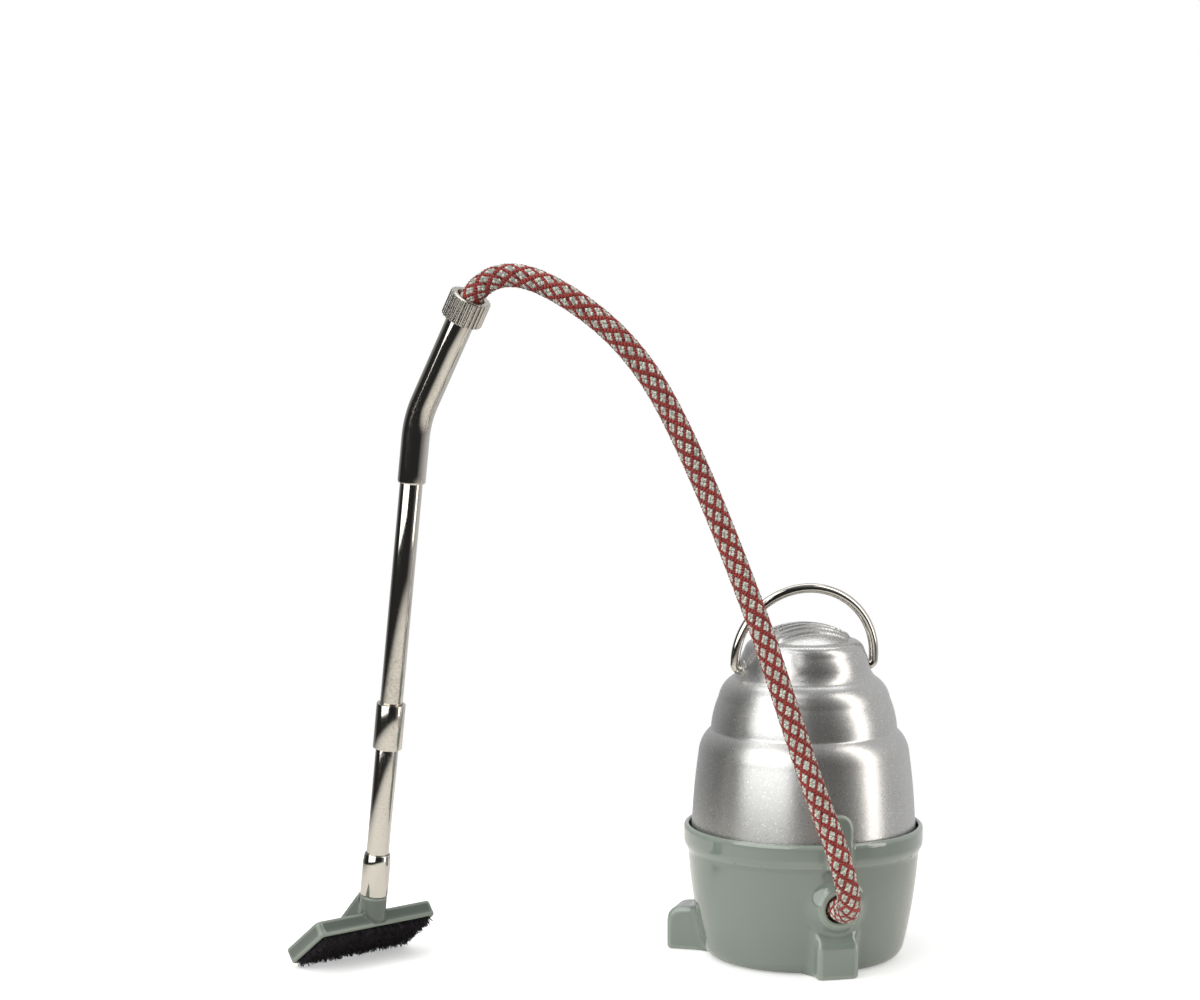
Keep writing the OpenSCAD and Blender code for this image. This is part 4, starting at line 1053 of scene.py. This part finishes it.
# %% [markdown]
# The brush head is a second enamelled casting: a flat plate with a slanted neck for the wand, a wedge
# behind the neck that stiffens it, and a shallow bed underneath for the bristle strip.

# %% Brush head
BRUSH = {"length": 22.9, "width": 10, "thick": 2.6, "strip_l": 21.7, "strip_w": 8.8, "bed": 0.65,
         "neck_r": 2.1, "neck_l": 2.9, "neck_root": 4.2, "spigot_r": 1.5, "spigot_l": 2.9, "spigot_mid": 3,
         "fairing_w": 3.2}
BRUSH_ROUND = {"plan": 0.9, "plate": 0.5, "wedge": 0.8, "wedge_root": 0.4, "neck": 0.3, "neck_root": 0.25,
               "bed": 0.15}
FAIRING = [(-4.4, -1.3), (4.3, -1.3), (4.3, 0), (1.9, 2.4), (-4.966, 3.536)]


def fairing_distance(y, z):
    """Distance to the fairing's outline, which turns left all the way round."""
    sides = []
    for (ay, az), (by, bz) in zip(FAIRING, FAIRING[1:] + FAIRING[:1]):
        length = math.hypot(by - ay, bz - az)
        sides.append(((y - ay) * (bz - az) - (z - az) * (by - ay)) / length)
    return np.max(sides, axis=0)


def brush_distance(p):
    """Distance to the brush head, its plate's top at Z 0."""
    x, y, z = p[..., 0], p[..., 1], p[..., 2]
    thick = BRUSH["thick"]
    plan = block((np.abs(x) - BRUSH["length"] / 2, np.abs(y) - BRUSH["width"] / 2), BRUSH_ROUND["plan"])
    body = smooth_max(plan, np.abs(z + thick / 2) - thick / 2, BRUSH_ROUND["plate"])
    wedge = smooth_max(fairing_distance(y, z), np.abs(x) - BRUSH["fairing_w"] / 2, BRUSH_ROUND["wedge"])
    body = smooth_min(body, wedge, BRUSH_ROUND["wedge_root"])
    tilt = math.radians(NECK_TILT)
    dy = y + NECK_BACK
    along = z * math.cos(tilt) - dy * math.sin(tilt)
    from_axis = np.hypot(x, dy * math.cos(tilt) + z * math.sin(tilt))
    neck_ends = (along - BRUSH["neck_l"], -along - BRUSH["neck_root"], -z - thick)
    neck = block((from_axis - BRUSH["neck_r"], *neck_ends), BRUSH_ROUND["neck"])
    body = smooth_min(body, neck, BRUSH_ROUND["neck_root"])
    body = np.maximum(body, -z - thick)
    spigot_half = BRUSH["neck_l"] + BRUSH["spigot_l"] - BRUSH["spigot_mid"]
    spigot = np.maximum(from_axis - BRUSH["spigot_r"], np.abs(along - BRUSH["spigot_mid"]) - spigot_half)
    body = np.minimum(body, spigot)
    bed = np.maximum(np.abs(x) - BRUSH["strip_l"] / 2, np.abs(y) - BRUSH["strip_w"] / 2)
    bed = np.maximum(bed, z + thick - BRUSH["bed"])
    return smooth_max(body, -bed, BRUSH_ROUND["bed"])


BRUSH_CELL = 0.16
brush_skin = casting(brush_distance, (-12.17, -9.57, -3.17), (12.2, 5.8, 5.2), BRUSH_CELL)
new_piece(cast_mesh("brush", brush_skin, HEAD), brush_enamel_painted_shade, "brush", "sage_enamel", "brush_head")

# %% [markdown]
# The pile under the plate is black nylon, which is extruded smooth, so each strand has a dull gleam where
# dust has not settled on it. No two strands are quite the same black, and an attribute on each carries its
# shade.

# %% Bristle finish
PILE_DUST_MM = 0.6
pile, pile_tree, pile_place = new_finish("nylon_pile_black")
pile_shade = add_node(pile_tree, "ShaderNodeAttribute", attribute_name="strand")
pile_colour = add_node(pile_tree, "ShaderNodeMix", {
    0: pile_shade.outputs["Fac"], 6: linear("#0d0c0e"), 7: linear("#3d383f")}, data_type="RGBA")
pile_dust = add_node(pile_tree, "ShaderNodeTexNoise", {
    "Vector": pile_place, "Scale": 1 / (PILE_DUST_MM * MM), "Detail": 3})
pile_gloss = add_node(pile_tree, "ShaderNodeMapRange", {"Value": pile_dust, "To Min": 0.4, "To Max": 0.75})
pile_shader = add_node(pile_tree, "ShaderNodeBsdfPrincipled", {
    "Base Color": pile_colour, "Roughness": pile_gloss, "Specular IOR Level": 0.35})
add_node(pile_tree, "ShaderNodeOutputMaterial", {"Surface": pile_shader})
print("pile nodes:", len(pile_tree.nodes))

# %% [markdown]
# The strands were cut to one length, and use has ruffled and worn them. Thousands are too many to place,
# so Geometry Nodes scatter points over the backing and stand one bent strand on each, with its own lean,
# length and shade, all drawn from fixed seeds.

# %% Strand tree
KNEE_AT = 0.55
BENT_ASIDE = 0.22
CUT_SHORT, CUT_LONG = 0.62, 1.15
TONE_SEED = 3


def strand_tree(name):
    """Bent strands scattered over a flat backing, standing along -Z."""
    tree, given = new_tree(name, {
        "Density": "Float", "Length": "Float", "Radius": "Float", "Lean": "Float", "Seed": "Int"})
    spots = add_node(tree, "GeometryNodeDistributePointsOnFaces", {
        "Mesh": given["Geometry"], "Density": given["Density"], "Seed": given["Seed"]})
    down = add_node(tree, "ShaderNodeMath", {0: given["Length"], 1: -1}, operation="MULTIPLY")
    half = add_node(tree, "ShaderNodeMath", {0: given["Length"], 1: -KNEE_AT}, operation="MULTIPLY")
    aside = add_node(tree, "ShaderNodeMath", {0: given["Length"], 1: BENT_ASIDE}, operation="MULTIPLY")
    knee = add_node(tree, "ShaderNodeCombineXYZ", {"Z": half})
    end = add_node(tree, "ShaderNodeCombineXYZ", {"X": aside, "Z": down})
    bent = add_node(tree, "GeometryNodeCurveQuadraticBezier", {
        "Resolution": 2, "Start": (0, 0, 0), "Middle": knee, "End": end})
    section = add_node(tree, "GeometryNodeCurvePrimitiveCircle", {
        "Resolution": 3, "Radius": given["Radius"]})
    strand = add_node(tree, "GeometryNodeCurveToMesh", {
        "Curve": bent, "Profile Curve": section, "Fill Caps": True})
    least = add_node(tree, "ShaderNodeMath", {0: given["Lean"], 1: -1}, operation="MULTIPLY")
    low = add_node(tree, "ShaderNodeCombineXYZ", {"X": least, "Y": least, "Z": 0})
    high = add_node(tree, "ShaderNodeCombineXYZ", {
        "X": given["Lean"], "Y": given["Lean"], "Z": 2 * math.pi})
    lean = add_node(tree, "FunctionNodeRandomValue", {
        0: low, 1: high, "Seed": given["Seed"]}, data_type="FLOAT_VECTOR")
    turn = add_node(tree, "FunctionNodeEulerToRotation", {0: lean})
    cut = add_node(tree, "FunctionNodeRandomValue", {
        2: CUT_SHORT, 3: CUT_LONG, "Seed": given["Seed"]}, data_type="FLOAT")
    copies = add_node(tree, "GeometryNodeInstanceOnPoints", {
        "Points": spots, "Instance": strand, "Rotation": turn, "Scale": cut})
    tone = add_node(tree, "FunctionNodeRandomValue", {2: 0.0, 3: 1.0, "Seed": TONE_SEED}, data_type="FLOAT")
    toned = add_node(tree, "GeometryNodeStoreNamedAttribute", {
        "Geometry": copies, "Name": "strand", "Value": tone}, data_type="FLOAT", domain="INSTANCE")
    real = add_node(tree, "GeometryNodeRealizeInstances", {0: toned})
    done = add_node(tree, "GeometryNodeSetMaterial", {"Geometry": real, "Material": pile})
    add_node(tree, "NodeGroupOutput", {0: done})
    return tree


bristle_tree = strand_tree("bristles")
print("strand tree nodes:", len(bristle_tree.nodes))

# %% [markdown]
# The backing is one flat face in the bed of the plate. The strands are rooted in it and stand out below
# the plate, and those that would go through the floor are pressed flat on it, as the brush's weight does.

# %% Bristles
STRAND_OUT = 0.95
STRAND_IN = 0.25
STRAND_R = 0.06
STRAND_LEAN = 0.5
STRANDS_PER_MM2 = 30
PILE_SEED = 11
BACKING_INSET = 0.15
half_l = BRUSH["strip_l"] / 2 - BACKING_INSET
half_w = BRUSH["strip_w"] / 2 - BACKING_INSET
root_z = -BRUSH["thick"] + STRAND_IN
backing = bpy.data.meshes.new("backing")
backing.from_pydata([
    (sx * half_l * MM, sy * half_w * MM, root_z * MM) for sx, sy in ((-1, -1), (-1, 1), (1, 1), (1, -1))],
    [], [(0, 1, 2, 3)])
strands = run_tree(bristle_tree, backing, {
    "Density": STRANDS_PER_MM2 / MM ** 2, "Length": (STRAND_OUT + STRAND_IN) * MM, "Radius": STRAND_R * MM,
    "Lean": STRAND_LEAN, "Seed": PILE_SEED})
strands.transform(in_metres(HEAD))
strand_spots = np.zeros(3 * len(strands.vertices), dtype=np.float32)
strands.vertices.foreach_get("co", strand_spots)
strand_spots[2::3] = np.maximum(strand_spots[2::3], 0)
strands.vertices.foreach_set("co", strand_spots)
new_piece(strands, pile, "brush", "black_pile", "bristle_strip")

# %% [markdown]
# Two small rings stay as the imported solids, because only their rims can be glimpsed: the crimp on the
# hose's end inside the tub, and the collar that holds the hose in the nut. They take the nickel finish.

# %% Hidden rings
for node in ("hose_ferrule", "hose_collar"):
    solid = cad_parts[node]
    for material_slot in solid.material_slots:
        material_slot.material = nickel
    print(node, "takes", nickel.name)

# %% [markdown]
# The toy stands on a pale table, a sheet of matt white card. The card fades out at its edge, so no
# horizon shows behind the toy from any side. To reflections and bounced light it is a greyer card that
# ends sooner, as the table was in the room, because a white one all round would wash out the paint and
# the nickel.

# %% Floor
FLOOR_R = 700
FLOOR_TOP = -0.05
FLOOR_UNDER = -4
FLOOR_MIDDLE = (-0.035, -0.005, 0)
FADED_BY = 0.165
# What the camera sees and what everything else sees: colour, roughness, glow, and where the fade starts
CARDS = (("#fbfbfa", 0.7, 0.4, 0.12), ("#e6e3dd", 0.8, 0.12, 0.055))
table, table_tree, table_place = new_finish("white_card_matt")
table_far = add_node(table_tree, "ShaderNodeVectorMath", {
    0: table_place, 1: FLOOR_MIDDLE}, operation="DISTANCE")
table_clear = add_node(table_tree, "ShaderNodeBsdfTransparent")
table_faded = []
for tint, rough, glow, near in CARDS:
    card = add_node(table_tree, "ShaderNodeBsdfPrincipled", {
        "Base Color": linear(tint), "Roughness": rough, "Emission Color": linear("#ffffff"),
        "Emission Strength": glow})
    fade = add_node(table_tree, "ShaderNodeMapRange", {
        "Value": table_far, "From Min": near, "From Max": FADED_BY}, interpolation_type="SMOOTHSTEP")
    table_faded.append(add_node(table_tree, "ShaderNodeMixShader", {0: fade, 1: card, 2: table_clear}))
table_ray = add_node(table_tree, "ShaderNodeLightPath")
table_both = add_node(table_tree, "ShaderNodeMixShader", {
    0: table_ray.outputs["Is Camera Ray"], 1: table_faded[1], 2: table_faded[0]})
add_node(table_tree, "ShaderNodeOutputMaterial", {"Surface": table_both})
floor_skin = spin([(FLOOR_R, FLOOR_UNDER), (FLOOR_R, FLOOR_TOP)], 96, closed=False)
floor_mesh = to_mesh("floor", *floor_skin)
floor_mesh.materials.append(table)
floor = bpy.data.objects.new("floor", floor_mesh)
bpy.context.collection.objects.link(floor)
floor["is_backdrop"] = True
print("floor", 2 * FLOOR_R, "mm across")

# %% [markdown]
# Four soft boxes light the toy. A broad one to the front left lights the paint, a narrow one on the right
# draws the bright line down the metal, and a high one and a strip behind light the tops.

# %% Light
AIM = Vector((-0.03, -0.005, 0.045))
# Place, width and height in metres, then watts and tint
SOFT_BOXES = {
    "left_panel": ((-0.44, -0.455, 0.29), (0.75, 0.62), 3.5, "#ffffff"),
    "right_strip": ((0.45, -0.15, 0.25), (0.18, 0.75), 1.3, "#fffaf4"),
    "high_panel": ((-0.32, -0.20, 0.62), (0.60, 0.45), 1.6, "#ffffff"),
    "back_strip": ((-0.05, 0.20, 0.62), (0.70, 0.16), 0.8, "#ffffff")}
for name, (place, (wide, high), watts, tint) in SOFT_BOXES.items():
    light = bpy.data.lights.new(name, "AREA")
    light.shape = "RECTANGLE"
    light.size, light.size_y = wide, high
    light.energy = watts
    light.color = linear(tint)[:3]
    lamp = bpy.data.objects.new(name, light)
    lamp.location = place
    lamp.rotation_euler = (AIM - Vector(place)).to_track_quat("-Z", "Y").to_euler()
    bpy.context.collection.objects.link(lamp)
print("lights:", ", ".join(SOFT_BOXES))

# %% [markdown]
# The room is white to the camera. To the toy it is brighter on the right and behind it, and dark behind
# the camera and on the left, which the nickel needs for its dark bands: a mirror looks like metal only
# when there is something dark to mirror.

# %% Room
BRIGHT_WAY = (0.55, 0.8, 0.24)
room = bpy.data.worlds.new("room")
room.use_nodes = True
room_tree = room.node_tree
room_tree.nodes.clear()
room_way = add_node(room_tree, "ShaderNodeTexCoord").outputs["Generated"]
room_side = add_node(room_tree, "ShaderNodeVectorMath", {
    0: room_way, 1: BRIGHT_WAY}, operation="DOT_PRODUCT")
room_depth = add_node(room_tree, "ShaderNodeMapRange", {
    "Value": room_side, "From Min": -0.3, "From Max": 0.9, "To Min": 0.025, "To Max": 0.65})
room_light = add_node(room_tree, "ShaderNodeBackground", {
    "Color": linear("#fdfdff"), "Strength": room_depth})
room_seen = add_node(room_tree, "ShaderNodeBackground", {"Color": linear("#ffffff"), "Strength": 1.0})
room_ray = add_node(room_tree, "ShaderNodeLightPath")
room_both = add_node(room_tree, "ShaderNodeMixShader", {
    0: room_ray.outputs["Is Camera Ray"], 1: room_light, 2: room_seen})
add_node(room_tree, "ShaderNodeOutputWorld", {"Surface": room_both})
bpy.context.scene.world = room
bpy.context.scene.view_settings.view_transform = "Standard"
print("room nodes:", len(room_tree.nodes))

# %% [markdown]
# Last, the box of the imported solids and the box of the dressed toy are printed side by side, as how
# far each corner moved.

# %% Finish
visual_box = [list(corner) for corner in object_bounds()]
for corner, solids, dressed in zip(("low", "high"), cad_box, visual_box):
    print(corner, "corner moved by mm:", [round((d - s) / MM, 2) for d, s in zip(dressed, solids)])
